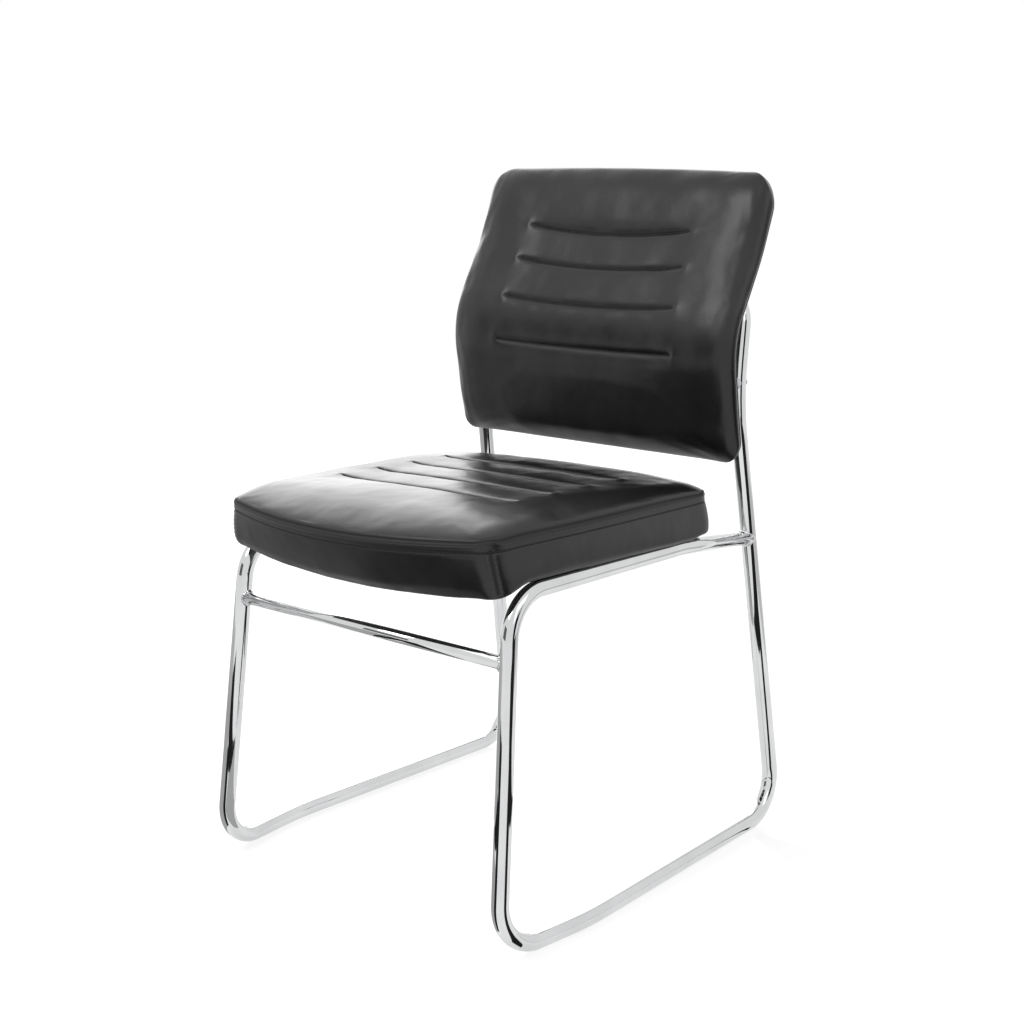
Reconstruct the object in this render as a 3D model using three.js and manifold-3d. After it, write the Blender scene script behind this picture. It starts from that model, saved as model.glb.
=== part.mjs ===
// Sled base visitor chair: two bent tube sides that meet in a bow behind the back, tied by a
// front stretcher and two seat bars, with an upholstered seat and an upholstered back.
// Millimetres, +Z up. The sitter faces -Y and +X is the sitter's left. The chair is drawn
// about the middle of its runners, and is centred on its own box at the end.
import * as THREE from 'three';
import { mergeVertices } from 'three/addons/utils/BufferGeometryUtils.js';
import Module from 'manifold-3d';

const wasm = await Module();
wasm.setup();

// Driving dimensions

// round tube of the two sides
const TUBE_DIAMETER = 20;
const TUBE_WALL = 1.8;
const BEND_RADIUS = 53;

// runners, with half spacings at the front bend, at the widest place and at the rear bend
const RUNNER_LENGTH = 552;
const RUNNER_HALF_FRONT = 225;
const RUNNER_HALF_WIDEST = 241;
const RUNNER_HALF_REAR = 227;
const RUNNER_WIDEST_BEHIND_FRONT = 136;
const RUNNER_BOW_RADIUS = 400;

// front leg and seat rail
const RAIL_HEIGHT = 400;
const RAIL_HALF = 208;
const FRONT_LEG_SETBACK = 41;
const RAIL_DROP = 4;
const RAIL_KINK_BEHIND_FRONT = 352;
const RAIL_KINK_RADIUS = 90;
const RAIL_REAR_DROP = 13;
const RAIL_END_SQUASH_SHARE = 0.8;
const RAIL_SPLIT_SHARE = 0.4;
const RAIL_OVERLAP_SHARE = 0.45;
const RAIL_END_SQUASH_LENGTH = 70;

// rear leg, upright and the bow behind the back
const LUMBAR_HEIGHT = 560;
const LUMBAR_HALF = 206.5;
const LUMBAR_AHEAD_OF_REAR = 85.5;
const LUMBAR_RADIUS = 280;
const BOW_ABOVE_LUMBAR = 130;
const BOW_HALF = 202;
const BOW_RADIUS = 42;
const BOW_SLEEVE_LENGTH = 90;
const BOW_SLEEVE_WALL = 2;

// front stretcher
const STRETCHER_DIAMETER = 15;
const STRETCHER_WALL = 1.5;
const STRETCHER_LEG_SHARE = 0.814;
const WELD_BEAD = 1.8;

// seat: half widths of its top seam, its place over the runners, and its edges
const SEAT_HALF_FRONT = 204;
const SEAT_HALF_MIDDLE = 213;
const SEAT_BEHIND_RUNNER_FRONT = 12;
const SEAT_DEPTH = 400;
const SEAT_FRONT_CORNER = 20;
const SEAT_REAR_CORNER = 44;
const SEAM_ABOVE_RAIL = 41;
const SEAM_FALL = 7;
const SEAT_FRONT_BOW = 38;
const SEAT_FRONT_DIP = 7;
const SEAT_BOW_FADE = 118;
const SEAT_LIP = 3;
const SEAT_RISE = 22;
const SEAT_CROWN = 5;
const SEAT_SIDE_ROLL = 32;
const SEAT_FRONT_ROLL = 62;
const SEAT_REAR_ROLL = 36;

// seat boxing, the band between the top seam and the rails
const BOXING_THICKNESS = 3;
const BOXING_BULGE = 1.5;
const BOXING_LOWER_HALF_FRONT = 213;
const BOXING_HANG_REAR = 3;
const BOXING_CORNER_TUCK = 7;
const BOXING_BOW_TUCK = 13;
const BOXING_FRONT_DIP = 8;
const FRONT_EDGE_DROP = 15;
const FRONT_EDGE_FADE = 60;

// seat channels, straight sewn lines across the top
const SEAT_CHANNEL_HALF = 137;
const SEAT_CHANNEL_FIRST = 122;
const SEAT_CHANNEL_PITCH = 62.5;
const SEAT_CHANNEL_COUNT = 4;
const SEAT_CHANNEL_DEPTH = 4.5;
const CHANNEL_WIDTH = 18;

// inside the seat and under it
const SEAT_BOARD_THICKNESS = 12;
const BOARD_SIDE_SHARE = 0.75;
const DUST_COVER_THICKNESS = 1;
const SEAT_BAR_WIDTH = 30;
const SEAT_BAR_THICKNESS = 5;
const SEAT_BAR_FROM_FRONT = 136;
const SEAT_BAR_FROM_REAR = 110;
const SEAT_BOLT_HALF = 140;

// back: measured along its rear seam, which the side view shows as a soft knee
const BACK_HALF = 214;
const BACK_BELOW_LUMBAR = 71;
const BACK_HEIGHT = 339;
const BACK_KNEE_ABOVE_LUMBAR = 72;
const BACK_KNEE_AHEAD_OF_LUMBAR = 23.7;
const BACK_KNEE_RADIUS = 105;
const BACK_FOOT_BEHIND_KNEE = 23;
const BACK_SHOULDER_ABOVE_KNEE = 98;
const BACK_SHOULDER_BEHIND_KNEE = 55;
const BACK_SHOULDER_RADIUS = 300;
const BACK_HEAD_BEHIND_KNEE = 95;
const BACK_THICKNESS_TOP = 33;
const BACK_THICKNESS_BOTTOM = 28;
const BACK_LIP = 15;
const BACK_SIDE_ROLL = 17;
const BACK_END_ROLL = 26;
const BACK_HOLLOW = 5;
const BACK_TOP_CORNER = 36;
const BACK_BOTTOM_CORNER = 30;
const BACK_TOP_ARCH = 4;
const BACK_COVER_SIDE = 2.4;
const BACK_COVER_FRONT = 8;
const BACK_BOARD_THICKNESS = 9;
const BACK_PANEL_THICKNESS = 3;

// back channels, which sag in the middle, more so towards the top
const BACK_CHANNEL_HALF_TOP = 125;
const BACK_CHANNEL_HALF_BOTTOM = 138;
const BACK_CHANNEL_ABOVE_BOTTOM = 123;
const BACK_CHANNEL_PITCH = 45.5;
const BACK_CHANNEL_COUNT = 4;
const BACK_CHANNEL_DEPTH = 5;
const BACK_CHANNEL_SAG_TOP = 8;
const BACK_CHANNEL_SAG_BOTTOM = 2;

// fasteners
const BOLT_DIAMETER = 6;
const BOLT_HEAD_DIAMETER = 11;
const BOLT_HEAD_HEIGHT = 3.3;
const BOLT_SOCKET = 4;
const BOLT_SOCKET_DEPTH = 1.8;
const WASHER_DIAMETER = 16;
const WASHER_THICKNESS = 1.5;
const TEE_NUT_FLANGE = 19;
const TEE_NUT_FLANGE_THICKNESS = 1.5;
const TEE_NUT_BARREL = 8.5;
const INSERT_DIAMETER = 9;
const SPACER_DIAMETER = 17;
const BACK_BOLT_ABOVE_LUMBAR = 20;
const BOW_BOLT_HALF = 120;

const CLEARANCE = 0.3;
const OVERRUN = 6;
const TUBE_SIDES = 16;
const BORE_SIDES = 8;
const BOLT_SIDES = 12;

const tubeRadius = TUBE_DIAMETER / 2;
const tubeBore = tubeRadius - TUBE_WALL;
const tubeCornerRadius = tubeRadius / Math.cos(Math.PI / TUBE_SIDES);
const boltRadius = BOLT_DIAMETER / 2;
const boltHole = boltRadius + CLEARANCE;
const { lerp, smoothstep, clamp } = THREE.MathUtils;

// the bow, the back and its bolts keep their heights over the lumbar bend, which carries them
const bowHeight = LUMBAR_HEIGHT + BOW_ABOVE_LUMBAR;
const backBoltHeight = LUMBAR_HEIGHT + BACK_BOLT_ABOVE_LUMBAR;
const backBottom = LUMBAR_HEIGHT - BACK_BELOW_LUMBAR;
const backTop = backBottom + BACK_HEIGHT;
const kneeHeight = LUMBAR_HEIGHT + BACK_KNEE_ABOVE_LUMBAR;
const shoulderHeight = kneeHeight + BACK_SHOULDER_ABOVE_KNEE;
const lowestBackChannel = backBottom + BACK_CHANNEL_ABOVE_BOTTOM;

// Materials

const material = (color, metalness, roughness) =>
  new THREE.MeshStandardMaterial({ color, metalness, roughness });
const chrome = () => material(0xd9dbde, 1, 0.06);
const steel = () => material(0x9a9c9f, 1, 0.35);
const leather = () => material(0x262626, 0, 0.42);
const foam = () => material(0xd8c98f, 0, 0.9);
const plywood = () => material(0xb98f5c, 0, 0.7);
const cloth = () => material(0x161616, 0, 0.95);

// Solids: from geometry for joins and cuts, and back

function toSolid(geometry) {
  const plain = geometry.clone();
  plain.deleteAttribute('normal');
  plain.deleteAttribute('uv');
  const merged = mergeVertices(plain);
  return new wasm.Manifold(new wasm.Mesh({
    numProp: 3,
    vertProperties: new Float32Array(merged.attributes.position.array),
    triVerts: new Uint32Array(merged.index.array),
  }));
}

function toGeometry(solid) {
  const mesh = solid.getMesh();
  const geometry = new THREE.BufferGeometry();
  geometry.setAttribute('position', new THREE.BufferAttribute(mesh.vertProperties, 3));
  geometry.setIndex(new THREE.BufferAttribute(mesh.triVerts, 1));
  geometry.computeVertexNormals();
  return geometry;
}

const chair = new THREE.Group();

function add(name, solid, look) {
  const mesh = new THREE.Mesh(toGeometry(solid), look);
  mesh.name = name;
  chair.add(mesh);
}

const point = (x, y, z) => new THREE.Vector3(x, y, z);
const sideways = point(1, 0, 0);
const upwards = point(0, 0, 1);
const flipped = (place) => point(-place.x, place.y, place.z);
const mirrored = (solid) => solid.mirror([1, 0, 0]);

// Routes: straight runs joined by tangent arcs, with a ring of the tube at each arc step

const ARC_STEP_DEGREES = 15;
const PROFILE_STEP_DEGREES = 2;

function bentRoute(corners, radii, stepDegrees = ARC_STEP_DEGREES) {
  const rings = [{ place: corners[0], along: corners[1].clone().sub(corners[0]).normalize() }];
  for (let i = 1; i < corners.length - 1; i += 1) {
    const into = corners[i].clone().sub(corners[i - 1]).normalize();
    const out = corners[i + 1].clone().sub(corners[i]).normalize();
    const turn = into.angleTo(out);
    const radius = radii[i - 1];
    const start = corners[i].clone().addScaledVector(into, -radius * Math.tan(turn / 2));
    const inwards = out.clone().addScaledVector(into, -out.dot(into)).normalize();
    const centre = start.clone().addScaledVector(inwards, radius);
    const steps = Math.max(2, Math.ceil(THREE.MathUtils.radToDeg(turn) / stepDegrees));
    for (let k = 0; k <= steps; k += 1) {
      const angle = (turn * k) / steps;
      rings.push({
        place: centre.clone().addScaledVector(into, radius * Math.sin(angle))
          .addScaledVector(inwards, -radius * Math.cos(angle)),
        along: into.clone().multiplyScalar(Math.cos(angle))
          .addScaledVector(inwards, Math.sin(angle)),
      });
    }
  }
  const [before, last] = corners.slice(-2);
  rings.push({ place: last, along: last.clone().sub(before).normalize() });
  return rings;
}

// A curve that hands its own rings to the extrusion, so that bends are fine and runs are long.
// Each ring is squared to the reference, or to the ring before it where the tube runs along it.
const nearlyAlong = 0.6;

class RingPath extends THREE.Curve {
  constructor(rings, reference) {
    super();
    this.rings = rings;
    this.reference = reference;
  }

  getPoint(share) {
    return this.rings[Math.round(share * (this.rings.length - 1))].place.clone();
  }

  getSpacedPoints() {
    return this.rings.map((ring) => ring.place.clone());
  }

  computeFrenetFrames() {
    const tangents = this.rings.map((ring) => ring.along.clone());
    const normals = [];
    let normal = this.reference;
    for (const along of tangents) {
      const guide = Math.abs(along.dot(this.reference)) < nearlyAlong ? this.reference : normal;
      normal = guide.clone().addScaledVector(along, -guide.dot(along)).normalize();
      normals.push(normal);
    }
    const binormals = tangents.map((along, i) => along.clone().cross(normals[i]));
    return { tangents, normals, binormals };
  }
}

// A regular polygon whose flats touch the circle, with one flat square to each axis
function section(radius, sides) {
  const corner = radius / Math.cos(Math.PI / sides);
  return Array.from({ length: sides }, (_, i) => {
    const angle = ((i + 0.5) * 2 * Math.PI) / sides;
    return new THREE.Vector2(corner * Math.cos(angle), corner * Math.sin(angle));
  });
}

function rodGeometry(rings, radius, reference, sides) {
  return new THREE.ExtrudeGeometry(new THREE.Shape(section(radius, sides)), {
    steps: rings.length - 1,
    extrudePath: new RingPath(rings, reference),
    bevelEnabled: false,
  });
}

function rod(rings, radius, reference, sides) {
  return toSolid(rodGeometry(rings, radius, reference, sides));
}

function straightRod(from, to, radius, sides) {
  const reference = Math.abs(to.x - from.x) > from.distanceTo(to) / 2 ? upwards : sideways;
  return rod(bentRoute([from, to], []), radius, reference, sides);
}

// Places on the sitter's left

const runnerFront = -RUNNER_LENGTH / 2;
const runnerRear = RUNNER_LENGTH / 2;
const frontCorner = point(RUNNER_HALF_FRONT, runnerFront, tubeRadius);
const widestPoint = point(RUNNER_HALF_WIDEST, runnerFront + RUNNER_WIDEST_BEHIND_FRONT, tubeRadius);
const rearCorner = point(RUNNER_HALF_REAR, runnerRear, tubeRadius);
const railFront = point(RAIL_HALF, runnerFront + FRONT_LEG_SETBACK, RAIL_HEIGHT);
const railKink = point(RAIL_HALF, runnerFront + RAIL_KINK_BEHIND_FRONT, RAIL_HEIGHT - RAIL_DROP);
const lumbar = point(LUMBAR_HALF, runnerRear - LUMBAR_AHEAD_OF_REAR, LUMBAR_HEIGHT);

function onLine(from, to, height) {
  return from.clone().lerp(to, (height - from.z) / (to.z - from.z));
}

const railEnd = onLine(rearCorner, lumbar, railKink.z - RAIL_REAR_DROP);
const railTop = (y) =>
  RAIL_HEIGHT + tubeRadius - (RAIL_DROP * (y - railFront.y)) / (railKink.y - railFront.y);

// Side view of the back's rear seam: a foot, a knee, a shoulder and a head, with round bends

const channelLines = Array.from({ length: BACK_CHANNEL_COUNT },
  (_, i) => lowestBackChannel + i * BACK_CHANNEL_PITCH);
const kneeY = lumbar.y - BACK_KNEE_AHEAD_OF_LUMBAR;
const backSamples = bentRoute([
  point(0, kneeY + BACK_FOOT_BEHIND_KNEE, backBottom),
  point(0, kneeY, kneeHeight),
  point(0, kneeY + BACK_SHOULDER_BEHIND_KNEE, shoulderHeight),
  point(0, kneeY + BACK_HEAD_BEHIND_KNEE, backTop),
], [BACK_KNEE_RADIUS, BACK_SHOULDER_RADIUS], PROFILE_STEP_DEGREES).map((ring) => ring.place);

function between(samples, height) {
  let i = 1;
  while (i < samples.length - 1 && samples[i].z < height) {
    i += 1;
  }
  const share = (height - samples[i - 1].z) / (samples[i].z - samples[i - 1].z);
  return lerp(samples[i - 1].y, samples[i].y, share);
}

const endShares = [0, 0.05, 0.2, 0.45, 0.75, 1];
const halfChannel = CHANNEL_WIDTH / 2;

function filledIn(values, widest) {
  const sorted = values.slice().sort((a, b) => a - b);
  const filled = [sorted[0]];
  for (let i = 1; i < sorted.length; i += 1) {
    const gap = sorted[i] - sorted[i - 1];
    const parts = Math.ceil(gap / widest);
    for (let k = 1; k <= parts; k += 1) {
      filled.push(sorted[i - 1] + (gap * k) / parts);
    }
  }
  return filled;
}

const backRowHeights = filledIn([
  ...endShares.map((share) => backBottom + share * BACK_BOTTOM_CORNER),
  ...channelLines.flatMap((line) => [line - halfChannel, line, line + halfChannel]),
  ...endShares.map((share) => backTop - share * BACK_TOP_CORNER),
], TUBE_DIAMETER * 1.5);
const seamRows = backRowHeights.map((height) => point(0, between(backSamples, height), height));
const rearSeam = (height) => between(seamRows, height);

function backTilt(height) {
  const low = between(backSamples, height - CHANNEL_WIDTH);
  const high = between(backSamples, height + CHANNEL_WIDTH);
  return Math.atan2(high - low, 2 * CHANNEL_WIDTH);
}

const forwardFromBack = (height) =>
  point(0, -Math.cos(backTilt(height)), Math.sin(backTilt(height)));

// How far a place behind the back is from its rear seam surface, going straight at it
function reachToBack(place, forward) {
  let reach = 0;
  for (let i = 0; i < 12; i += 1) {
    const there = place.clone().addScaledVector(forward, reach);
    reach += (there.y - rearSeam(there.z)) * -forward.y;
  }
  return reach;
}

// The bow lies against the back's rear panel
const bowCorner = point(BOW_HALF,
  rearSeam(bowHeight) + (tubeCornerRadius + CLEARANCE) / Math.cos(backTilt(bowHeight)), bowHeight);

// Side frames: one bent tube each, from the rail's end round to the middle of the bow

function squashedRailEnd(geometry, start) {
  const position = geometry.attributes.position;
  for (let i = 0; i < position.count; i += 1) {
    const y = position.getY(i);
    const amount = smoothstep(y, railEnd.y - RAIL_END_SQUASH_LENGTH, railEnd.y - tubeRadius);
    const middle = lerp(start.z, railEnd.z, (y - start.y) / (railEnd.y - start.y));
    const share = lerp(1, RAIL_END_SQUASH_SHARE, amount);
    position.setZ(i, middle + (position.getZ(i) - middle) * share);
  }
  return geometry;
}

function railRear(radius, end, sides) {
  const start = railKink.clone().lerp(railEnd, RAIL_SPLIT_SHARE);
  const along = end.clone().sub(start).normalize();
  const steps = 4;
  const rings = Array.from({ length: steps + 1 },
    (_, i) => ({ place: start.clone().lerp(end, i / steps), along }));
  return toSolid(squashedRailEnd(rodGeometry(rings, radius, sideways, sides), start));
}

function loopTube(radius, middle, sides) {
  const corners = [railKink.clone().lerp(railEnd, RAIL_OVERLAP_SHARE), railKink, railFront, frontCorner,
    widestPoint, rearCorner, lumbar, bowCorner, bowCorner.clone().setX(middle)];
  const radii = [RAIL_KINK_RADIUS, BEND_RADIUS, BEND_RADIUS, RUNNER_BOW_RADIUS, BEND_RADIUS,
    LUMBAR_RADIUS, BOW_RADIUS];
  return rod(bentRoute(corners, radii), radius, sideways, sides);
}

// A place on the upright's centre line, bend and all
const uprightLine = bentRoute([rearCorner, lumbar, bowCorner], [LUMBAR_RADIUS])
  .map((ring) => ring.place);

function uprightAt(height) {
  const above = uprightLine.findIndex((place) => place.z > height);
  return onLine(uprightLine[above - 1], uprightLine[above], height);
}

const uprightBoltPlace = uprightAt(backBoltHeight);
const straightAhead = point(0, -1, 0);
const bowBoltPlace = bowCorner.clone().setX(BOW_BOLT_HALF);

function holeThrough(place, forward) {
  return straightRod(place.clone().addScaledVector(forward, -TUBE_DIAMETER),
    place.clone().addScaledVector(forward, TUBE_DIAMETER), boltHole, BOLT_SIDES);
}

function sideFrame() {
  const reach = 3 * TUBE_DIAMETER;
  const aroundUpright = straightRod(uprightAt(railEnd.z - reach), uprightAt(railEnd.z + reach),
    tubeRadius + WELD_BEAD, TUBE_SIDES);
  const weld = aroundUpright.intersect(railRear(tubeRadius + WELD_BEAD, railEnd, TUBE_SIDES));
  const boreEnd = railEnd.clone();
  boreEnd.y -= tubeRadius + TUBE_WALL;
  const outside = loopTube(tubeRadius, CLEARANCE / 2, TUBE_SIDES)
    .add(railRear(tubeRadius, railEnd, TUBE_SIDES)).add(weld);
  const inside = loopTube(tubeBore, -OVERRUN, BORE_SIDES).add(railRear(tubeBore, boreEnd, BORE_SIDES));
  return outside.subtract(inside)
    .subtract(holeThrough(uprightBoltPlace, straightAhead))
    .subtract(holeThrough(bowBoltPlace, forwardFromBack(bowHeight)));
}

const leftFrame = sideFrame();
add('side_frame_left', leftFrame, chrome());
add('side_frame_right', mirrored(leftFrame), chrome());

// The sleeve inside the bow, which joins the two halves

function bowSleeve() {
  const end = bowCorner.clone().setX(BOW_SLEEVE_LENGTH / 2);
  const past = end.clone().setX(end.x + OVERRUN);
  const radius = (tubeBore - CLEARANCE) * Math.cos(Math.PI / TUBE_SIDES);
  return straightRod(flipped(end), end, radius, TUBE_SIDES)
    .subtract(straightRod(flipped(past), past, radius - BOW_SLEEVE_WALL, BORE_SIDES));
}

add('bow_sleeve', bowSleeve(), steel());

// Front stretcher, coped to the two front legs, with its weld beads

function frontStretcher() {
  const place = frontCorner.clone().lerp(railFront, STRETCHER_LEG_SHARE);
  const far = flipped(place);
  const past = place.clone().setX(place.x + OVERRUN);
  const radius = STRETCHER_DIAMETER / 2;
  const legAlong = railFront.clone().sub(frontCorner).normalize();
  const around = (size) => straightRod(
    place.clone().addScaledVector(legAlong, -2 * TUBE_DIAMETER),
    place.clone().addScaledVector(legAlong, 2 * TUBE_DIAMETER), size, TUBE_SIDES);
  const collar = straightRod(place.clone().setX(place.x - 2 * TUBE_DIAMETER), place,
    radius + WELD_BEAD, TUBE_SIDES);
  const bead = around(tubeRadius + 2 * WELD_BEAD).intersect(collar);
  const leg = around(tubeRadius + CLEARANCE);
  return straightRod(far, place, radius, TUBE_SIDES).add(bead).add(mirrored(bead))
    .subtract(straightRod(flipped(past), past, radius - STRETCHER_WALL, BORE_SIDES))
    .subtract(leg).subtract(mirrored(leg));
}

add('front_stretcher', frontStretcher(), chrome());

// Padded bodies: a front surface of rows of points over a plainer rear surface

// Triangles between two lines of points. Turned ones face the other way over the same edges.
function stitch(faces, a, b, turned = false) {
  const addFace = (p, q, r) => faces.push(...(turned ? [p, r, q] : [p, q, r]));
  let i = 0;
  let j = 0;
  while (i < a.length - 1 || j < b.length - 1) {
    const nextA = (i + 1) / (a.length - 1);
    const nextB = (j + 1) / (b.length - 1);
    if (j === b.length - 1 || (i < a.length - 1 && nextA <= nextB)) {
      addFace(a[i], a[i + 1], b[j]);
      i += 1;
    } else {
      addFace(a[i], b[j + 1], b[j]);
      j += 1;
    }
  }
}

function meshSolid(points, faces) {
  return new wasm.Manifold(new wasm.Mesh({
    numProp: 3,
    vertProperties: new Float32Array(points.flatMap((p) => [p.x, p.y, p.z])),
    triVerts: new Uint32Array(faces),
  }));
}

function padBody(rows) {
  const points = [];
  const number = (p) => points.push(p) - 1;
  const grid = rows.map((row) => ({ front: row.front.map(number), rear: row.rear.map(number) }));
  const faces = [];
  for (let j = 0; j + 1 < grid.length; j += 1) {
    const [a, b] = [grid[j], grid[j + 1]];
    stitch(faces, a.front, b.front);
    stitch(faces, a.rear, b.rear, true);
    stitch(faces, [a.front[0], b.front[0]], [a.rear[0], b.rear[0]]);
    stitch(faces, [a.rear.at(-1), b.rear.at(-1)], [a.front.at(-1), b.front.at(-1)]);
  }
  stitch(faces, grid[0].rear, grid[0].front);
  stitch(faces, grid.at(-1).front, grid.at(-1).rear);
  return meshSolid(points, faces);
}

// A tube-like body of closed rings with equal counts, closed by a fan at both ends
function ringBody(rings) {
  const count = rings[0].length;
  const points = rings.flat();
  const faces = [];
  const loop = (j) => Array.from({ length: count + 1 }, (_, i) => j * count + (i % count));
  for (let j = 0; j + 1 < rings.length; j += 1) {
    stitch(faces, loop(j), loop(j + 1));
  }
  for (const [j, turned] of [[0, true], [rings.length - 1, false]]) {
    const hub = rings[j].reduce((sum, p) => sum.add(p), point(0, 0, 0)).divideScalar(count);
    const centre = points.push(hub) - 1;
    const around = loop(j);
    for (let i = 0; i < count; i += 1) {
      const [a, b] = [around[i], around[i + 1]];
      faces.push(...(turned ? [centre, b, a] : [centre, a, b]));
    }
  }
  return meshSolid(points, faces);
}

// Half width of an outline with round corners, at a place between its two ends
function roundedHalf(along, from, to, half, fromCorner, toCorner) {
  const corner = along - from < to - along ? fromCorner : toCorner;
  const inset = corner - Math.min(along - from, to - along);
  if (inset <= 0) {
    return half;
  }
  return half - corner + Math.sqrt(Math.max(0, corner * corner - inset * inset));
}

// Share of the full rise at a distance from an edge that rolls over
function rollShare(distance, roll) {
  const t = clamp(1 - distance / roll, 0, 1);
  return Math.sqrt(1 - t * t);
}

const grooveShare = (offset) => clamp(1 - Math.abs(offset) / halfChannel, 0, 1);
const edgeShares = [0, 0.12, 0.4, 1];
const innerShares = [0.76, 0.7, 0.64, 0.42, 0.2];

// Places across a row: close together in the rolled edge and at the channels' ends
function across(half, roll) {
  const right = [
    ...edgeShares.map((share) => half - roll * share),
    ...innerShares.map((share) => (half - roll) * share),
  ];
  return [...right.map((x) => -x), 0, ...right.slice().reverse()];
}

function channelWindow(x, half) {
  return 1 - smoothstep(Math.abs(x), half - halfChannel / 2, half + halfChannel);
}

// Seat

const seatFront = runnerFront + SEAT_BEHIND_RUNNER_FRONT;
const seatRear = seatFront + SEAT_DEPTH;
const seamHeight = (y) => railTop(seatFront) + SEAM_ABOVE_RAIL - (SEAM_FALL * (y - seatFront)) / SEAT_DEPTH;
const frontFade = (y) => 1 - smoothstep(y, seatFront, seatFront + SEAT_BOW_FADE);
const seatChannels = Array.from({ length: SEAT_CHANNEL_COUNT },
  (_, i) => seatFront + SEAT_CHANNEL_FIRST + i * SEAT_CHANNEL_PITCH);
const betweenRails = RAIL_HALF - 1.25 * TUBE_DIAMETER;
const boxingLowerHalfRear = RAIL_HALF + tubeCornerRadius + 2 * CLEARANCE + BOXING_THICKNESS;

function seatHalf(y) {
  const share = clamp((y - seatFront) / (SEAT_DEPTH / 2), 0, 1);
  return lerp(SEAT_HALF_FRONT, SEAT_HALF_MIDDLE, Math.sin((share * Math.PI) / 2));
}

// The seat's outline at a level, from 0 at the top seam to 1 at the boxing's lower edge. Its
// sides can be those of a higher level.
function seatLevel(share, inset, sideShare = share) {
  const bulge = BOXING_BULGE * Math.sin(Math.PI * share);
  const from = seatFront + BOXING_CORNER_TUCK * share - bulge + inset;
  const to = seatRear + bulge - inset;
  const fullHalf = (y) => {
    const along = clamp((y - seatFront) / SEAT_DEPTH, 0, 1);
    const lower = lerp(BOXING_LOWER_HALF_FRONT, boxingLowerHalfRear, along);
    return lerp(seatHalf(y), lower, sideShare) + bulge;
  };
  const half = (y) => roundedHalf(y, from, to, fullHalf(y) - inset,
    SEAT_FRONT_CORNER, SEAT_REAR_CORNER - inset);
  const bow = SEAT_FRONT_BOW - BOXING_BOW_TUCK * share;
  const dip = lerp(SEAT_FRONT_DIP, BOXING_FRONT_DIP, share);
  const place = (x, y, height) => {
    const bowShare = 1 - (x / fullHalf(y)) ** 2;
    const dipShare = Math.max(0, 1 - (x / lerp(fullHalf(y), betweenRails, share)) ** 2);
    return point(x, y - bow * bowShare * frontFade(y), height - dip * dipShare * frontFade(y));
  };
  return { from, to, half, place };
}

const seatLowCorner = seatRear - SEAT_REAR_CORNER;

const bowFadeShares = [0.28, 0.4, 0.52, 0.7, 1];

function seatRows(level) {
  return [
    ...endShares.map((share) => level.from + share * SEAT_FRONT_CORNER),
    ...bowFadeShares.map((share) => seatFront + share * SEAT_BOW_FADE),
    (seatFront + seatRear) / 2,
    seatLowCorner - TUBE_DIAMETER,
    ...endShares.slice().reverse().map((share) => level.to - share * SEAT_REAR_CORNER),
  ];
}

const seatColumnShares = [-1, -0.88, -0.6, -0.3, 0, 0.3, 0.6, 0.88, 1];

// One face of a seat layer, ruled across where the front bow has faded out
function seatFace(level, heightAt) {
  return seatRows(level).map((y) => {
    const shares = frontFade(y) > 0 ? seatColumnShares : [-1, 1];
    return shares.map((share) => level.place(share * level.half(y), y, heightAt(y)));
  });
}

function betweenFaces(fronts, rears) {
  return padBody(fronts.map((front, i) => ({ front, rear: rears[i] })));
}

function seatTopPanel() {
  const level = seatLevel(0, 0);
  const rows = filledIn([
    ...endShares.map((share) => seatFront + share * SEAT_FRONT_CORNER),
    seatFront + SEAT_FRONT_ROLL,
    ...seatChannels.flatMap((line) => [line - halfChannel, line, line + halfChannel]),
    ...endShares.map((share) => seatRear - share * SEAT_REAR_CORNER),
  ], SEAT_CHANNEL_PITCH / 2);
  return padBody(rows.map((y) => {
    const half = level.half(y);
    const base = seamHeight(y) + CLEARANCE;
    const groove = seatChannels.reduce((sum, line) => sum + grooveShare(y - line), 0);
    const lengthRoll = rollShare(y - seatFront, SEAT_FRONT_ROLL) * rollShare(seatRear - y, SEAT_REAR_ROLL);
    const xs = across(half, SEAT_SIDE_ROLL);
    const rise = (x) => {
      const roll = rollShare(half - Math.abs(x), SEAT_SIDE_ROLL) * lengthRoll;
      const crown = SEAT_CROWN * (1 - (x / half) ** 2) * lengthRoll;
      const sewn = SEAT_CHANNEL_DEPTH * groove * channelWindow(x, SEAT_CHANNEL_HALF);
      return SEAT_LIP + (SEAT_RISE - SEAT_LIP) * roll + crown - sewn;
    };
    return {
      front: xs.map((x) => level.place(x, y, base + rise(x))),
      rear: (frontFade(y) > 0 ? xs : [-half, half]).map((x) => level.place(x, y, base)),
    };
  }));
}

function seatRing(level, heightAt) {
  const rows = seatRows(level);
  const right = rows.map((y) => level.place(level.half(y), y, heightAt(y)));
  const endEdge = (y) => seatColumnShares.slice(1, -1)
    .map((share) => level.place(share * level.half(y), y, heightAt(y)));
  return [...right, ...endEdge(level.to).reverse(), ...right.slice().reverse().map(flipped),
    ...endEdge(level.from)];
}

// The front edge of the seat drops ahead of the front legs' bends
const frontDrop = (y) => FRONT_EDGE_DROP * (1 - smoothstep(y, seatFront, seatFront + FRONT_EDGE_FADE));

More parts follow.
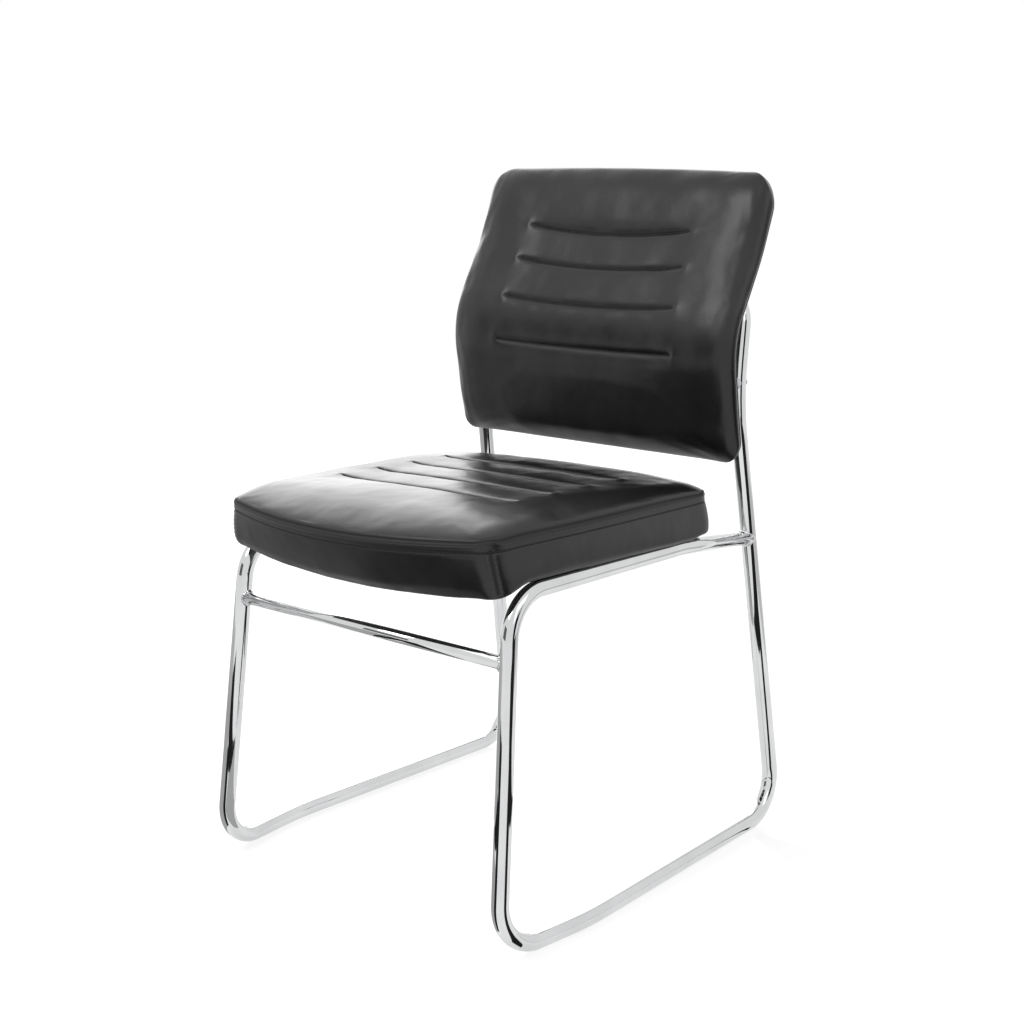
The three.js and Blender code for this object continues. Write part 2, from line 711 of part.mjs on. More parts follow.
// The band under the seam bulges a little. It stands on the rails, hangs a little outside them
// towards the rear, and lifts at its rear corners to pass over them.
function seatBoxing() {
  const lowerEdge = (y) => {
    const along = clamp((y - seatFront) / SEAT_DEPTH, 0, 1);
    const lift = smoothstep(y, seatLowCorner - TUBE_DIAMETER, seatLowCorner);
    return railTop(y) - frontDrop(y) - lerp(-2 * CLEARANCE, BOXING_HANG_REAR, along) * (1 - lift);
  };
  const ringAt = (share, inset, extra) => seatRing(seatLevel(share, inset),
    (y) => lerp(seamHeight(y), lowerEdge(y), share) + extra);
  const shares = [1, 0.75, 0.5, 0.25, 0];
  const outer = ringBody(shares.map((share) => ringAt(share, 0, 0)));
  const inner = ringBody([ringAt(1, BOXING_THICKNESS, -OVERRUN),
    ...shares.map((share) => ringAt(share, BOXING_THICKNESS, 0)),
    ringAt(0, BOXING_THICKNESS, OVERRUN)]);
  return outer.subtract(inner);
}

// Heights of the layers, each resting on the one below
const dustBottom = (y) => railTop(y) - frontDrop(y) + 2 * CLEARANCE;
const dustTop = (y) => dustBottom(y) + DUST_COVER_THICKNESS;
const boardBottom = (y) => dustTop(y) + CLEARANCE;
const boardTop = (y) => boardBottom(y) + SEAT_BOARD_THICKNESS;
const layerInset = BOXING_THICKNESS + 2 * CLEARANCE;
const lowLevel = seatLevel(1, layerInset, BOARD_SIDE_SHARE);

const seatBarYs = { front: seatFront + SEAT_BAR_FROM_FRONT, rear: seatRear - SEAT_BAR_FROM_REAR };
const seatBarTop = (y) => railTop(y + SEAT_BAR_WIDTH / 2);
const seatBoltPlaces = Object.entries(seatBarYs).flatMap(([end, y]) => [
  { name: `${end}_left`, x: SEAT_BOLT_HALF, y },
  { name: `${end}_right`, x: -SEAT_BOLT_HALF, y },
]);

function box(width, depth, height, middle) {
  return toSolid(new THREE.BoxGeometry(width, depth, height).translate(middle.x, middle.y, middle.z));
}

function upright(x, y, from, to, radius, sides) {
  return straightRod(point(x, y, from), point(x, y, to), radius, sides);
}

function withBoltHoles(solid, radius) {
  return seatBoltPlaces.reduce((rest, place) =>
    rest.subtract(upright(place.x, place.y, 0, seamHeight(place.y), radius, BOLT_SIDES)), solid);
}

function seatBar(y) {
  const rail = straightRod(railFront, railKink, tubeRadius + CLEARANCE, TUBE_SIDES);
  const middle = point(0, y, seatBarTop(y) - SEAT_BAR_THICKNESS / 2);
  const bar = box(2 * RAIL_HALF, SEAT_BAR_WIDTH, SEAT_BAR_THICKNESS, middle);
  return withBoltHoles(bar.subtract(rail).subtract(mirrored(rail)), boltHole);
}

for (const [end, y] of Object.entries(seatBarYs)) {
  add(`seat_bar_${end}`, seatBar(y), steel());
}

function seatBoard() {
  const slab = betweenFaces(seatFace(lowLevel, boardTop), seatFace(lowLevel, boardBottom));
  let board = withBoltHoles(slab, TEE_NUT_BARREL / 2 + CLEARANCE);
  for (const { x, y } of seatBoltPlaces) {
    const seatOfFlange = boardTop(y) - TEE_NUT_FLANGE_THICKNESS - CLEARANCE;
    board = board.subtract(
      upright(x, y, seatOfFlange, boardTop(y) + OVERRUN, TEE_NUT_FLANGE / 2 + CLEARANCE, TUBE_SIDES));
  }
  return board;
}

const seatFoam = betweenFaces(
  seatFace(seatLevel(0, layerInset), (y) => seamHeight(y) - 2 * CLEARANCE),
  seatFace(lowLevel, (y) => boardTop(y) + CLEARANCE));
const seatDustCover = betweenFaces(seatFace(lowLevel, dustTop), seatFace(lowLevel, dustBottom));

add('seat_dust_cover', withBoltHoles(seatDustCover, boltHole), cloth());
add('seat_board', seatBoard(), plywood());
add('seat_foam', seatFoam, foam());
add('seat_boxing', seatBoxing(), leather());
add('seat_top_panel', seatTopPanel(), leather());

// Back

const backHalf = (height, inset) => roundedHalf(height, backBottom + inset, backTop - inset,
  BACK_HALF - inset, BACK_BOTTOM_CORNER - inset, BACK_TOP_CORNER - inset);
const backShare = (height) => clamp((height - backBottom) / (backTop - backBottom), 0, 1);
const channelShare = (height) =>
  clamp((height - channelLines[0]) / (channelLines.at(-1) - channelLines[0]), 0, 1);
const channelHalf = (height) =>
  lerp(BACK_CHANNEL_HALF_BOTTOM, BACK_CHANNEL_HALF_TOP, channelShare(height));

// A place on the back, a depth ahead of the rear seam. The top edge arches, and rows near the
// channels sag with them.
function backPlace(x, height, depth) {
  const shareOut = (x / BACK_HALF) ** 2;
  const arch = BACK_TOP_ARCH * (1 - shareOut) * smoothstep(height, channelLines.at(-1), backTop);
  const seam = height + arch;
  const onSeam = point(x, rearSeam(Math.min(height, backTop)) + arch * Math.tan(backTilt(height)), seam);
  return onSeam.addScaledVector(forwardFromBack(height), depth);
}

function channelSag(x, height) {
  const depth = lerp(BACK_CHANNEL_SAG_BOTTOM, BACK_CHANNEL_SAG_TOP, channelShare(height));
  const inFold = smoothstep(height, backBottom, channelLines[0])
    * (1 - smoothstep(height, channelLines.at(-1) + halfChannel, backTop - BACK_END_ROLL));
  return depth * inFold * Math.max(0, 1 - (x / channelHalf(height)) ** 2);
}

function backDepth(x, height, half) {
  const thickness = lerp(BACK_THICKNESS_BOTTOM, BACK_THICKNESS_TOP, backShare(height));
  const lengthRoll = rollShare(height - backBottom, BACK_END_ROLL)
    * rollShare(backTop - height, BACK_END_ROLL);
  const roll = rollShare(half - Math.abs(x), BACK_SIDE_ROLL) * lengthRoll;
  return BACK_LIP + (thickness - BACK_LIP) * roll - BACK_HOLLOW * (1 - (x / half) ** 2) * lengthRoll;
}

function backRows(inset) {
  const from = backBottom + inset;
  const to = backTop - inset;
  return [from, ...backRowHeights.filter((height) => height > from && height < to), to];
}

const coreEdgeShares = [0, 0.2, 0.5, 1];

// What lies inside the cover, from a depth up to the inner side of the cover's front
function backCore(inset, fromDepth) {
  return padBody(backRows(inset).map((height) => {
    const half = backHalf(height, inset);
    const right = coreEdgeShares.map((share) => half - BACK_SIDE_ROLL * share);
    const xs = [...right.map((x) => -x), 0, ...right.reverse()];
    const innerDepth = (x) => {
      const fromEdge = Math.min(half + inset - Math.abs(x), height - backBottom, backTop - height);
      const skinShare = rollShare(fromEdge - BACK_COVER_SIDE, BACK_SIDE_ROLL);
      const skin = lerp(BACK_COVER_SIDE, BACK_COVER_FRONT, skinShare);
      return Math.max(BACK_LIP, backDepth(x, height, half + inset) - skin) - inset + BACK_COVER_SIDE;
    };
    return {
      front: xs.map((x) => backPlace(x, height, innerDepth(x))),
      rear: [-half, half].map((x) => backPlace(x, height, fromDepth)),
    };
  }));
}

function backFrontCover() {
  const outer = padBody(backRows(0).map((height) => {
    const half = backHalf(height, 0);
    const groove = channelLines.reduce((sum, line) => sum + grooveShare(height - line), 0);
    const xs = across(half, BACK_SIDE_ROLL);
    const end = height === backBottom || height === backTop;
    return {
      front: xs.map((x) => {
        const sewn = BACK_CHANNEL_DEPTH * groove * channelWindow(x, channelHalf(height));
        return backPlace(x, height - channelSag(x, height), backDepth(x, height, half) - sewn);
      }),
      rear: (end ? xs : [-half, half]).map((x) => backPlace(x, height, 0)),
    };
  }));
  return outer.subtract(backCore(BACK_COVER_SIDE, -OVERRUN));
}

// A layer of even thickness that follows the rear seam
function backLayer(inset, fromDepth, toDepth) {
  return padBody(backRows(inset).map((height) => {
    const half = backHalf(height, inset);
    return {
      front: [-half, half].map((x) => backPlace(x, height, toDepth)),
      rear: [-half, half].map((x) => backPlace(x, height, fromDepth)),
    };
  }));
}

const coreInset = BACK_COVER_SIDE + 5 * CLEARANCE;
const boardFrom = BACK_PANEL_THICKNESS + CLEARANCE;
const boardTo = boardFrom + BACK_BOARD_THICKNESS;

// Each fixing runs forward through the tube. It knows how far the rear panel is, and how much
// its head has to stand off a tube that leans.
function backFixing(name, place, forward, tubeAlong) {
  const lean = Math.asin(Math.abs(tubeAlong.dot(forward)));
  const tilt = forward.angleTo(forwardFromBack(place.z));
  return {
    name,
    place,
    forward,
    tilt,
    reach: reachToBack(place, forward),
    headOffset: tubeCornerRadius + CLEARANCE + (BOLT_HEAD_DIAMETER / 2) * Math.tan(lean),
  };
}

const uprightAlong = uprightAt(backBoltHeight + TUBE_DIAMETER)
  .sub(uprightAt(backBoltHeight - TUBE_DIAMETER)).normalize();
const backFixings = [1, -1].flatMap((side) => {
  const end = side > 0 ? 'left' : 'right';
  const turn = side > 0 ? (place) => place : flipped;
  return [
    backFixing(`lower_${end}`, turn(uprightBoltPlace), straightAhead, uprightAlong),
    backFixing(`upper_${end}`, turn(bowBoltPlace), forwardFromBack(bowHeight), sideways),
  ];
});

function alongBolt({ place, forward }, from, to, radius, sides) {
  return straightRod(place.clone().addScaledVector(forward, from),
    place.clone().addScaledVector(forward, to), radius, sides);
}

function withBackHoles(solid, radius) {
  return backFixings.reduce((rest, fixing) => rest.subtract(
    alongBolt(fixing, 0, fixing.reach + boardTo + BACK_LIP / 2, radius, BOLT_SIDES)), solid);
}

add('back_front_cover', backFrontCover(), leather());
add('back_foam', backCore(coreInset, boardTo + CLEARANCE), foam());
add('back_board', withBackHoles(
  backLayer(BACK_COVER_SIDE + CLEARANCE, boardFrom, boardTo), INSERT_DIAMETER / 2 + CLEARANCE), plywood());
add('back_rear_panel', withBackHoles(
  backLayer(BACK_COVER_SIDE + CLEARANCE, 0, BACK_PANEL_THICKNESS), boltHole), leather());

// Fasteners, each a turned body along +Z that is set on its place

function turned(profile, sides) {
  const outline = profile.map(([radius, height]) => new THREE.Vector2(radius, height));
  const geometry = new THREE.LatheGeometry(outline, sides);
  return geometry.rotateX(Math.PI / 2);
}

function setOn(geometry, place, along) {
  const turn = new THREE.Quaternion().setFromUnitVectors(upwards, along);
  return geometry.clone().applyQuaternion(turn).translate(place.x, place.y, place.z);
}

// A button head bolt whose head starts at the place and whose shank runs along
const headShares = [[0, 1], [0.4, 1], [0.75, 0.8], [1, 0.3], [1, 0]];
const boltTipShare = 0.8;

function bolt(length) {
  const shank = toSolid(turned([
    ...headShares.map(([out, up]) => [(out * BOLT_HEAD_DIAMETER) / 2, -up * BOLT_HEAD_HEIGHT]),
    [boltRadius, 0],
    [boltRadius, length - boltRadius * (1 - boltTipShare)],
    [boltRadius * boltTipShare, length],
    [0, length],
  ], BOLT_SIDES));
  const socket = straightRod(point(0, 0, -BOLT_HEAD_HEIGHT - OVERRUN),
    point(0, 0, BOLT_SOCKET_DEPTH - BOLT_HEAD_HEIGHT), BOLT_SOCKET / 2, 6);
  return toGeometry(shank.subtract(socket));
}

function ringGeometry(outerRadius, innerRadius, height) {
  return turned([
    [innerRadius, 0],
    [outerRadius, 0],
    [outerRadius, height],
    [innerRadius, height],
    [innerRadius, 0],
  ], BOLT_SIDES);
}

function teeNut() {
  const flange = TEE_NUT_FLANGE / 2;
  const barrel = TEE_NUT_BARREL / 2;
  const length = SEAT_BOARD_THICKNESS - TEE_NUT_FLANGE_THICKNESS - 2 * CLEARANCE;
  return turned([
    [boltHole, -length],
    [barrel, -length],
    [barrel, 0],
    [flange, 0],
    [flange, TEE_NUT_FLANGE_THICKNESS],
    [boltHole, TEE_NUT_FLANGE_THICKNESS],
    [boltHole, -length],
  ], BOLT_SIDES);
}

const seatWasher = ringGeometry(WASHER_DIAMETER / 2, boltHole, WASHER_THICKNESS);
const seatTeeNut = teeNut();

for (const { name, x, y } of seatBoltPlaces) {
  const washerTop = seatBarTop(y) - SEAT_BAR_THICKNESS - CLEARANCE;
  const headFace = washerTop - WASHER_THICKNESS - CLEARANCE;
  const length = boardTop(y) - 2 * CLEARANCE - headFace;
  const flangeBottom = boardTop(y) - TEE_NUT_FLANGE_THICKNESS - CLEARANCE / 2;
  add(`seat_washer_${name}`,
    toSolid(setOn(seatWasher, point(x, y, washerTop - WASHER_THICKNESS), upwards)), steel());
  add(`seat_bolt_${name}`, toSolid(setOn(bolt(length), point(x, y, headFace), upwards)), steel());
  add(`seat_tee_nut_${name}`, toSolid(setOn(seatTeeNut, point(x, y, flangeBottom), upwards)), steel());
}

const insertRadius = INSERT_DIAMETER / 2;

for (const fixing of backFixings) {
  const { name, place, forward, tilt, reach, headOffset } = fixing;
  const headPlace = place.clone().addScaledVector(forward, -headOffset);
  const inset = insertRadius * Math.tan(tilt) + CLEARANCE;
  const insertFrom = reach + boardFrom / Math.cos(tilt) + inset;
  const insertTo = reach + boardTo / Math.cos(tilt) - inset;
  add(`back_bolt_${name}`, toSolid(setOn(bolt(headOffset + insertTo), headPlace, forward)), chrome());
  const insert = ringGeometry(insertRadius, boltHole, insertTo - insertFrom);
  add(`back_insert_${name}`,
    toSolid(setOn(insert, place.clone().addScaledVector(forward, insertFrom), forward)), steel());
}

// Spacers between the uprights and the rear panel, hollowed to fit the tube and cut to the panel

for (const fixing of backFixings.filter(({ name }) => name.startsWith('lower'))) {
  const { name, place, reach } = fixing;
  const turn = place.x > 0 ? (p) => p : flipped;
  const body = alongBolt(fixing, 0, reach + BACK_LIP, SPACER_DIAMETER / 2, TUBE_SIDES);
  const hole = alongBolt(fixing, 0, reach + BACK_LIP + OVERRUN, boltHole, BOLT_SIDES);
  const tube = straightRod(turn(uprightAt(backBoltHeight - TUBE_DIAMETER)),
    turn(uprightAt(backBoltHeight + TUBE_DIAMETER)), tubeRadius + 2 * CLEARANCE, TUBE_SIDES);
  add(`back_spacer_${name}`, body.subtract(hole).subtract(tube)
    .subtract(backLayer(-TUBE_DIAMETER, -CLEARANCE, BACK_THICKNESS_TOP)), steel());
}

// The origin lies under the middle of the chair's box, on the floor

const bounds = new THREE.Box3().setFromObject(chair);
const centre = bounds.getCenter(point(0, 0, 0));
chair.position.set(-centre.x, -centre.y, -bounds.min.z);
chair.updateMatrixWorld(true);

export default chair;
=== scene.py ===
"""Sled base visitor chair: bent chromed tube, and a seat and a back in black leather.

Metres, +Z up. The sitter faces -Y and +X is the sitter's left.
"""
import math

import bpy
import numpy as np
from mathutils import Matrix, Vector, noise
from mathutils.bvhtree import BVHTree


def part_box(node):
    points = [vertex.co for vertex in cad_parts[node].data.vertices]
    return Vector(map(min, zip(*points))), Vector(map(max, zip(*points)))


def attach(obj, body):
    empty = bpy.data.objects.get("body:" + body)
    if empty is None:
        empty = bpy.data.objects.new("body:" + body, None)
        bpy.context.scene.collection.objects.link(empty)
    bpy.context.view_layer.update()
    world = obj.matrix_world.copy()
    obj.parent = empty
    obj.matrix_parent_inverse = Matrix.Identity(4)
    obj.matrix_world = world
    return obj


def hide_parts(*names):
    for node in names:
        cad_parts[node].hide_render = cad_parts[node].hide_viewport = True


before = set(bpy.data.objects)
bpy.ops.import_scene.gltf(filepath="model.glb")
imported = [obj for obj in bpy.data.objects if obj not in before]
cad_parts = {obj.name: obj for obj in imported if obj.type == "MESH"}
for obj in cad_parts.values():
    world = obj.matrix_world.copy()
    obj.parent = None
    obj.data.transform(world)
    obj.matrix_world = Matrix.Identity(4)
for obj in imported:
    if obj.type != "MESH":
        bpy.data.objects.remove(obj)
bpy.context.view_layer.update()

# Camera, at the photograph's angle
CAMERA_PLACE = (1.3251, -1.5387, 0.8700)
CAMERA_YAW = 0.70376
CAMERA_PITCH = -0.21687
CAMERA_LENS = 59.775
CAMERA_SHIFT = (0.00112, 0.00124)

# Bent tubes: the route of the sitter's left side, its bends and its section
RUNNER_MIDDLE_Y = 0.01256
RUNNER_FRONT_Y = RUNNER_MIDDLE_Y - 0.276
RUNNER_REAR_Y = RUNNER_MIDDLE_Y + 0.276
TUBE_RADIUS = 0.010
FRONT_CORNER = (0.225, RUNNER_FRONT_Y, TUBE_RADIUS)
WIDEST_PLACE = (0.241, RUNNER_FRONT_Y + 0.136, TUBE_RADIUS)
REAR_CORNER = (0.227, RUNNER_REAR_Y, TUBE_RADIUS)
RAIL_FRONT = (0.208, RUNNER_FRONT_Y + 0.041, 0.400)
RAIL_KINK = (0.208, RUNNER_FRONT_Y + 0.352, 0.396)
RAIL_END = (0.2131, RUNNER_MIDDLE_Y + 0.218, 0.383)
LUMBAR = (0.2065, RUNNER_REAR_Y - 0.0855, 0.560)
BOW_CORNER = (0.202, RUNNER_MIDDLE_Y + 0.21139, 0.690)
BOW_MIDDLE = (0.00015, BOW_CORNER[1], BOW_CORNER[2])
TUBE_CORNERS = [RAIL_END, RAIL_KINK, RAIL_FRONT, FRONT_CORNER, WIDEST_PLACE, REAR_CORNER,
                LUMBAR, BOW_CORNER, BOW_MIDDLE]
TUBE_BENDS = [0.090, 0.053, 0.053, 0.400, 0.053, 0.280, 0.042]
TUBE_SIDES = 48
ARC_STEP = math.radians(3)
RAIL_SQUASH_SHARE = 0.8
STRETCHER_RADIUS = 0.0075
STRETCHER_LEG_SHARE = 0.814

# Weld beads: radius and points round the bead, and the number and share of its ripples and lumps
WELD_RADIUS = 0.0021
WELD_STEPS = 72
WELD_RIPPLES = (18, 0.16)
WELD_LUMPS = (3, 0.22)

# Seat: widths at the top seam, length, seam and edges
SEAT_FRONT = RUNNER_FRONT_Y + 0.012
SEAT_DEPTH = 0.400
SEAT_REAR = SEAT_FRONT + SEAT_DEPTH
SEAT_HALVES = (0.204, 0.213)
SEAT_CORNERS = (0.020, 0.028)
SEAM_ABOVE_RAIL = 0.0412
SEAM_FALL = 0.007
SEAT_FRONT_BOW = 0.038
SEAT_FRONT_DIP = 0.007
SEAT_BOW_FADE = 0.118
SEAT_LIP = 0.003
SEAT_RISE = 0.022
SEAT_CROWN = 0.005
SEAT_ROLLS = (0.062, 0.044, 0.032)
SEAT_REAR_SINK = 0.007
SEAT_REAR_SINK_LENGTH = 0.110
SEAT_LEFT_LIFT = 0.004
BAND_BULGE = 0.0015
BAND_LOWER_HALVES = (0.213, 0.222)
BAND_HANGS = (-0.0006, 0.003)
BAND_CORNER_TUCK = 0.007
BAND_BOW_TUCK = 0.013
BAND_FRONT_DIP = 0.008
BAND_EDGE_RADIUS = 0.007
FRONT_EDGE_DROP = 0.015
FRONT_EDGE_FADE = 0.060
BAND_HEIGHT = SEAM_ABOVE_RAIL + FRONT_EDGE_DROP / 2
BOARD_ABOVE_RAIL = 0.0016

# Seat rings: turns of the lower edge, and levels of the band from its lower edge to the seam
EDGE_TURNS = np.radians([-6, 8, 24, 40, 56, 72])
BAND_LEVELS = [0.80, 0.72, 0.64, 0.56, 0.48, 0.40, 0.33, 0.26, 0.20, 0.15, 0.115, 0.082, 0.052, 0.025, 0.0]

# Lining: edge in from the band's edge, distance under the board, thickness and sag between the bars
LINING_INSET = 0.002
LINING_ABOVE_EDGE = 0.0006
LINING_THICKNESS = 0.0006
LINING_SAG = 0.0035
LINING_BAR_REACH = 0.045
LINING_END_REACH = 0.06

# Back: outline, the side view of its rear seam, and edges
BACK_HALF = 0.2185
BACK_BOTTOM = 0.489
BACK_TOP = 0.820
BACK_CORNERS = (0.020, 0.038)
BACK_KNEE_Y = LUMBAR[1] - 0.0237
BACK_PROFILE = [(BACK_KNEE_Y + 0.023, BACK_BOTTOM), (BACK_KNEE_Y, 0.632),
                (BACK_KNEE_Y + 0.055, 0.730), (BACK_KNEE_Y + 0.095, 0.828)]
BACK_PROFILE_BENDS = [0.105, 0.300]
BACK_THICKNESS = (0.028, 0.033)
BACK_LIP = 0.012
BACK_SWELL = 0.005
BACK_ROLLS = (0.042, 0.058)
BACK_PIPING = 0.0048
BACK_HOLLOW = 0.005
BACK_ARCH = 0.004
BACK_PANEL_THICKNESS = 0.003
BACK_PANEL_PLAY = 0.0003
BACK_BOARD_PLAY = 0.0006
BACK_BOARD_THICKNESS = 0.010
BACK_SKIN = 0.0069
BACK_BOARD_INSET = 0.020
BACK_SEAM_INSET = 0.0075
TILT_STEP = 0.009

# Back rings, each an inset and a depth: the swelling rear edge, and the rear panel's rolled edge
BACK_EDGE = [(0.0021, 0.0010), (0.0013, 0.0), (0.0004, 0.0005), (-0.0002, 0.0014), (-0.0005, 0.0024),
             (-0.0005, 0.0034), (-0.0006, 0.0042), (-0.0012, 0.0050), (-0.0020, 0.0060),
             (-0.0032, 0.0076), (-0.0042, 0.0094), (-0.0048, 0.0112)]
PANEL_FLUSH = 0.0002
PANEL_EDGE = [(0.012, PANEL_FLUSH), (0.006, 0.0003), (0.003, 0.0006), (0.0015, 0.0011), (0.0005, 0.0019)]

# Channels: the fold, its spread in the stretched leather, its ends and their puckers
CHANNEL_WIDTH = 0.0023
CHANNEL_SPREAD = 0.011
CHANNEL_SHARES = (0.35, 0.75)
CHANNEL_HOLD = (0.75, 0.95)
CHANNEL_FADE = 0.004
CHANNEL_END = 0.006
PUCKER_WIDTH = 0.007

# Sewing
SEAM_ROW_OFFSET = 0.0042
SEAM_GROOVE = 0.0015
SEAM_RIDGE_WIDTH = 0.0036
STITCH_LENGTH = 0.0040
STITCH_GAP = 0.0013
STITCH_STEPS = 6
THREAD_RADIUS = 0.00045
UPPER_ROW_INSET = 0.0009
CORNER_ROW_OFFSET = 0.0036
CORNER_ROW_LEVELS = np.linspace(0.13, 0.97, 30)
LINE_STEPS = 80

# Meshes: cells along one side of a pad, and rings of its rolled edges
CELLS = 100
CORE_SHARE = 0.84
TOP_RINGS = 16
RING_SPREAD = 1.8
CROWDING = 1.7
CORNER_STEPS = 40

# Distances from the seam that stand for the middle of a face, outside and inside
FAR_BELOW = -1.0
BELOW_BAND = -0.9
FAR_INSIDE = 1.0

# Cloth: its settings, frames, hold near the seam, the most that it swells, and how it is calmed
CLOTH = {
    "quality": 4, "mass": 0.4, "use_pressure": True, "uniform_pressure_force": 4.0,
    "tension_stiffness": 25, "compression_stiffness": 25, "shear_stiffness": 12,
    "bending_stiffness": 8, "air_damping": 4,
}
CLOTH_FRAMES = 20
SEAM_HOLD = 0.9
SEAM_HOLD_WIDTH = 0.004
MOST_SWELL = 0.004
CALM_ROUNDS = 60
WRINKLES_LEFT = 0.14


# Materials

def new_material(name):
    material = bpy.data.materials.new(name)
    material.use_nodes = True
    tree = material.node_tree
    return material, tree, tree.nodes["Principled BSDF"]


def set_inputs(node, **values):
    """Sets a node's inputs. An underscore stands for the space in a name."""
    for name, value in values.items():
        node.inputs[name.replace("_", " ")].default_value = value


def add_node(tree, kind, **values):
    node = tree.nodes.new("ShaderNode" + kind)
    set_inputs(node, **values)
    return node


def link(tree, source, node, socket):
    tree.links.new(source, node.inputs[socket])


def calculated(tree, operation, *values):
    """The output of a sum of other outputs and plain numbers."""
    node = add_node(tree, "Math")
    node.operation = operation
    for socket, value in zip(node.inputs, values):
        if isinstance(value, float):
            socket.default_value = value
        else:
            tree.links.new(value, socket)
    return node.outputs[0]


def textured(tree, kind, **values):
    """A texture in the object's own space."""
    texture = add_node(tree, kind, **values)
    link(tree, add_node(tree, "TexCoord").outputs["Object"], texture, "Vector")
    return texture


def ramp(tree, source, low, high):
    """The middle of a texture's values, spread over a range."""
    node = add_node(tree, "MapRange", From_Min=0.35, From_Max=0.65, To_Min=low, To_Max=high)
    link(tree, source, node, "Value")
    return node.outputs["Result"]


def colours(tree, source, dark, light):
    node = add_node(tree, "Mix")
    node.data_type = "RGBA"
    set_inputs(node, A=(*dark, 1), B=(*light, 1))
    link(tree, source, node, "Factor")
    return node.outputs["Result"]


def bumped(tree, surface, *layers):
    """Adds bump layers, each a height source, a strength and a depth."""
    last = None
    for source, strength, depth in layers:
        bump = add_node(tree, "Bump", Strength=strength, Distance=depth)
        link(tree, source, bump, "Height")
        if last:
            link(tree, last.outputs["Normal"], bump, "Normal")
        last = bump
    link(tree, last.outputs["Normal"], surface, "Normal")


def grey(shade):
    return (shade, shade, shade)


def leather_material():
    """Cloudy black leather with grain, pores and creases, duller along its seams and channels, whose colour
    is darkened there by painted shade.
    """
    material, tree, surface = new_material("black_leather")
    grain = textured(tree, "TexVoronoi", Scale=950, Randomness=1.0)
    pores = textured(tree, "TexNoise", Scale=1600, Detail=3.0)
    creases = textured(tree, "TexNoise", Scale=55, Detail=5.0, Roughness=0.62, Distortion=0.9)
    clouds = textured(tree, "TexNoise", Scale=9, Detail=3.0).outputs["Fac"]
    attribute = add_node(tree, "Attribute")
    attribute.attribute_name = "seam_shade"
    seam = attribute.outputs["Fac"]
    skin = colours(tree, ramp(tree, clouds, 0, 1), (0.0042, 0.0042, 0.0044), (0.0075, 0.0075, 0.0078))
    # Painted shade: the leather's colour darkens almost to black where the seam_shade attribute marks the
    # grooves of seams and channels.
    skin_with_painted_shade = colours(tree, seam, grey(0), grey(0.0012))
    link(tree, skin, skin_with_painted_shade.node, "A")
    link(tree, skin_with_painted_shade, surface, "Base Color")
    skin_roughness = ramp(tree, clouds, 0.28, 0.35)
    seam_roughness = 0.45
    link(tree, calculated(tree, "MULTIPLY_ADD", seam, seam_roughness, skin_roughness), surface, "Roughness")
    bumped(tree, surface, (creases.outputs["Fac"], 0.15, 0.0012), (grain.outputs["Distance"], 0.12, 0.0003),
           (pores.outputs["Fac"], 0.10, 0.0002))
    set_inputs(surface, Specular_IOR_Level=0.46)
    return material


def chrome_material():
    """Bright chrome with a faint haze, and slight waves as on bent tube."""
    material, tree, surface = new_material("bright_chrome")
    haze = textured(tree, "TexNoise", Scale=18, Detail=4.0).outputs["Fac"]
    waves = textured(tree, "TexNoise", Scale=26, Detail=1.0).outputs["Fac"]
    metal = colours(tree, ramp(tree, haze, 0, 1), (0.61, 0.615, 0.62), (0.67, 0.675, 0.68))
    link(tree, metal, surface, "Base Color")
    link(tree, ramp(tree, haze, 0.03, 0.06), surface, "Roughness")
    bumped(tree, surface, (waves, 0.05, 0.0008))
    set_inputs(surface, Metallic=1.0)
    return material


def plain_material(name, dark, light, roughness, metallic=0.0, scale=60, bump=0.1, depth=0.0004,
                   distortion=0.0):
    """A material with one noise in its colour, gloss and bump."""
    material, tree, surface = new_material(name)
    pattern = textured(tree, "TexNoise", Scale=scale, Detail=5.0, Distortion=distortion).outputs["Fac"]
    link(tree, colours(tree, ramp(tree, pattern, 0, 1), dark, light), surface, "Base Color")
    link(tree, ramp(tree, pattern, roughness - 0.06, roughness + 0.06), surface, "Roughness")
    bumped(tree, surface, (pattern, bump, depth))
    set_inputs(surface, Metallic=metallic)
    return material


def lining_material():
    """Pressed black cloth with a pattern of dots."""
    material, tree, surface = new_material("black_lining")
    fibres = textured(tree, "TexNoise", Scale=700, Detail=4.0, Distortion=2.0).outputs["Fac"]
    dots = textured(tree, "TexVoronoi", Scale=420, Randomness=0.15).outputs["Distance"]
    link(tree, colours(tree, ramp(tree, fibres, 0, 1), grey(0.006), grey(0.022)), surface, "Base Color")
    bumped(tree, surface, (dots, 0.5, 0.0004), (fibres, 0.3, 0.0003))
    set_inputs(surface, Roughness=0.9, Sheen_Weight=0.2)
    return material


leather = leather_material()
chrome = chrome_material()
steel = plain_material("zinc_steel", (0.42, 0.43, 0.45), (0.58, 0.59, 0.60), 0.34, metallic=1.0, scale=120)
plywood = plain_material("raw_plywood", (0.36, 0.22, 0.11), (0.55, 0.38, 0.21), 0.6, scale=30, bump=0.2,
                         depth=0.0003, distortion=3.0)
lining = lining_material()
twist = {"roughness": 0.5, "scale": 2500, "bump": 0.4, "depth": 0.0002}
grey_thread = plain_material("grey_thread", grey(0.03), grey(0.07), **twist)
thread = plain_material("black_thread", grey(0.006), grey(0.016), **twist)


# Pieces

def put_object(name, data):
    thing = bpy.data.objects.new(name, data)
    bpy.context.scene.collection.objects.link(thing)
    return thing


def new_piece(name, points, faces, material, slot_name, replaced=()):
    mesh = bpy.data.meshes.new(name)
    mesh.from_pydata([tuple(p) for p in points], [], [tuple(f) for f in faces])
    mesh.validate()
    mesh.materials.append(material)
    mesh.shade_smooth()
    piece = put_object(name, mesh)
    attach(piece, "root")
    if replaced:
        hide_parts(*replaced)
    return piece


def smooth_step(value, low, high):
    t = np.clip((value - low) / (high - low), 0, 1)
    return t * t * (3 - 2 * t)


def mixed(a, b, share):
    return a + (b - a) * share


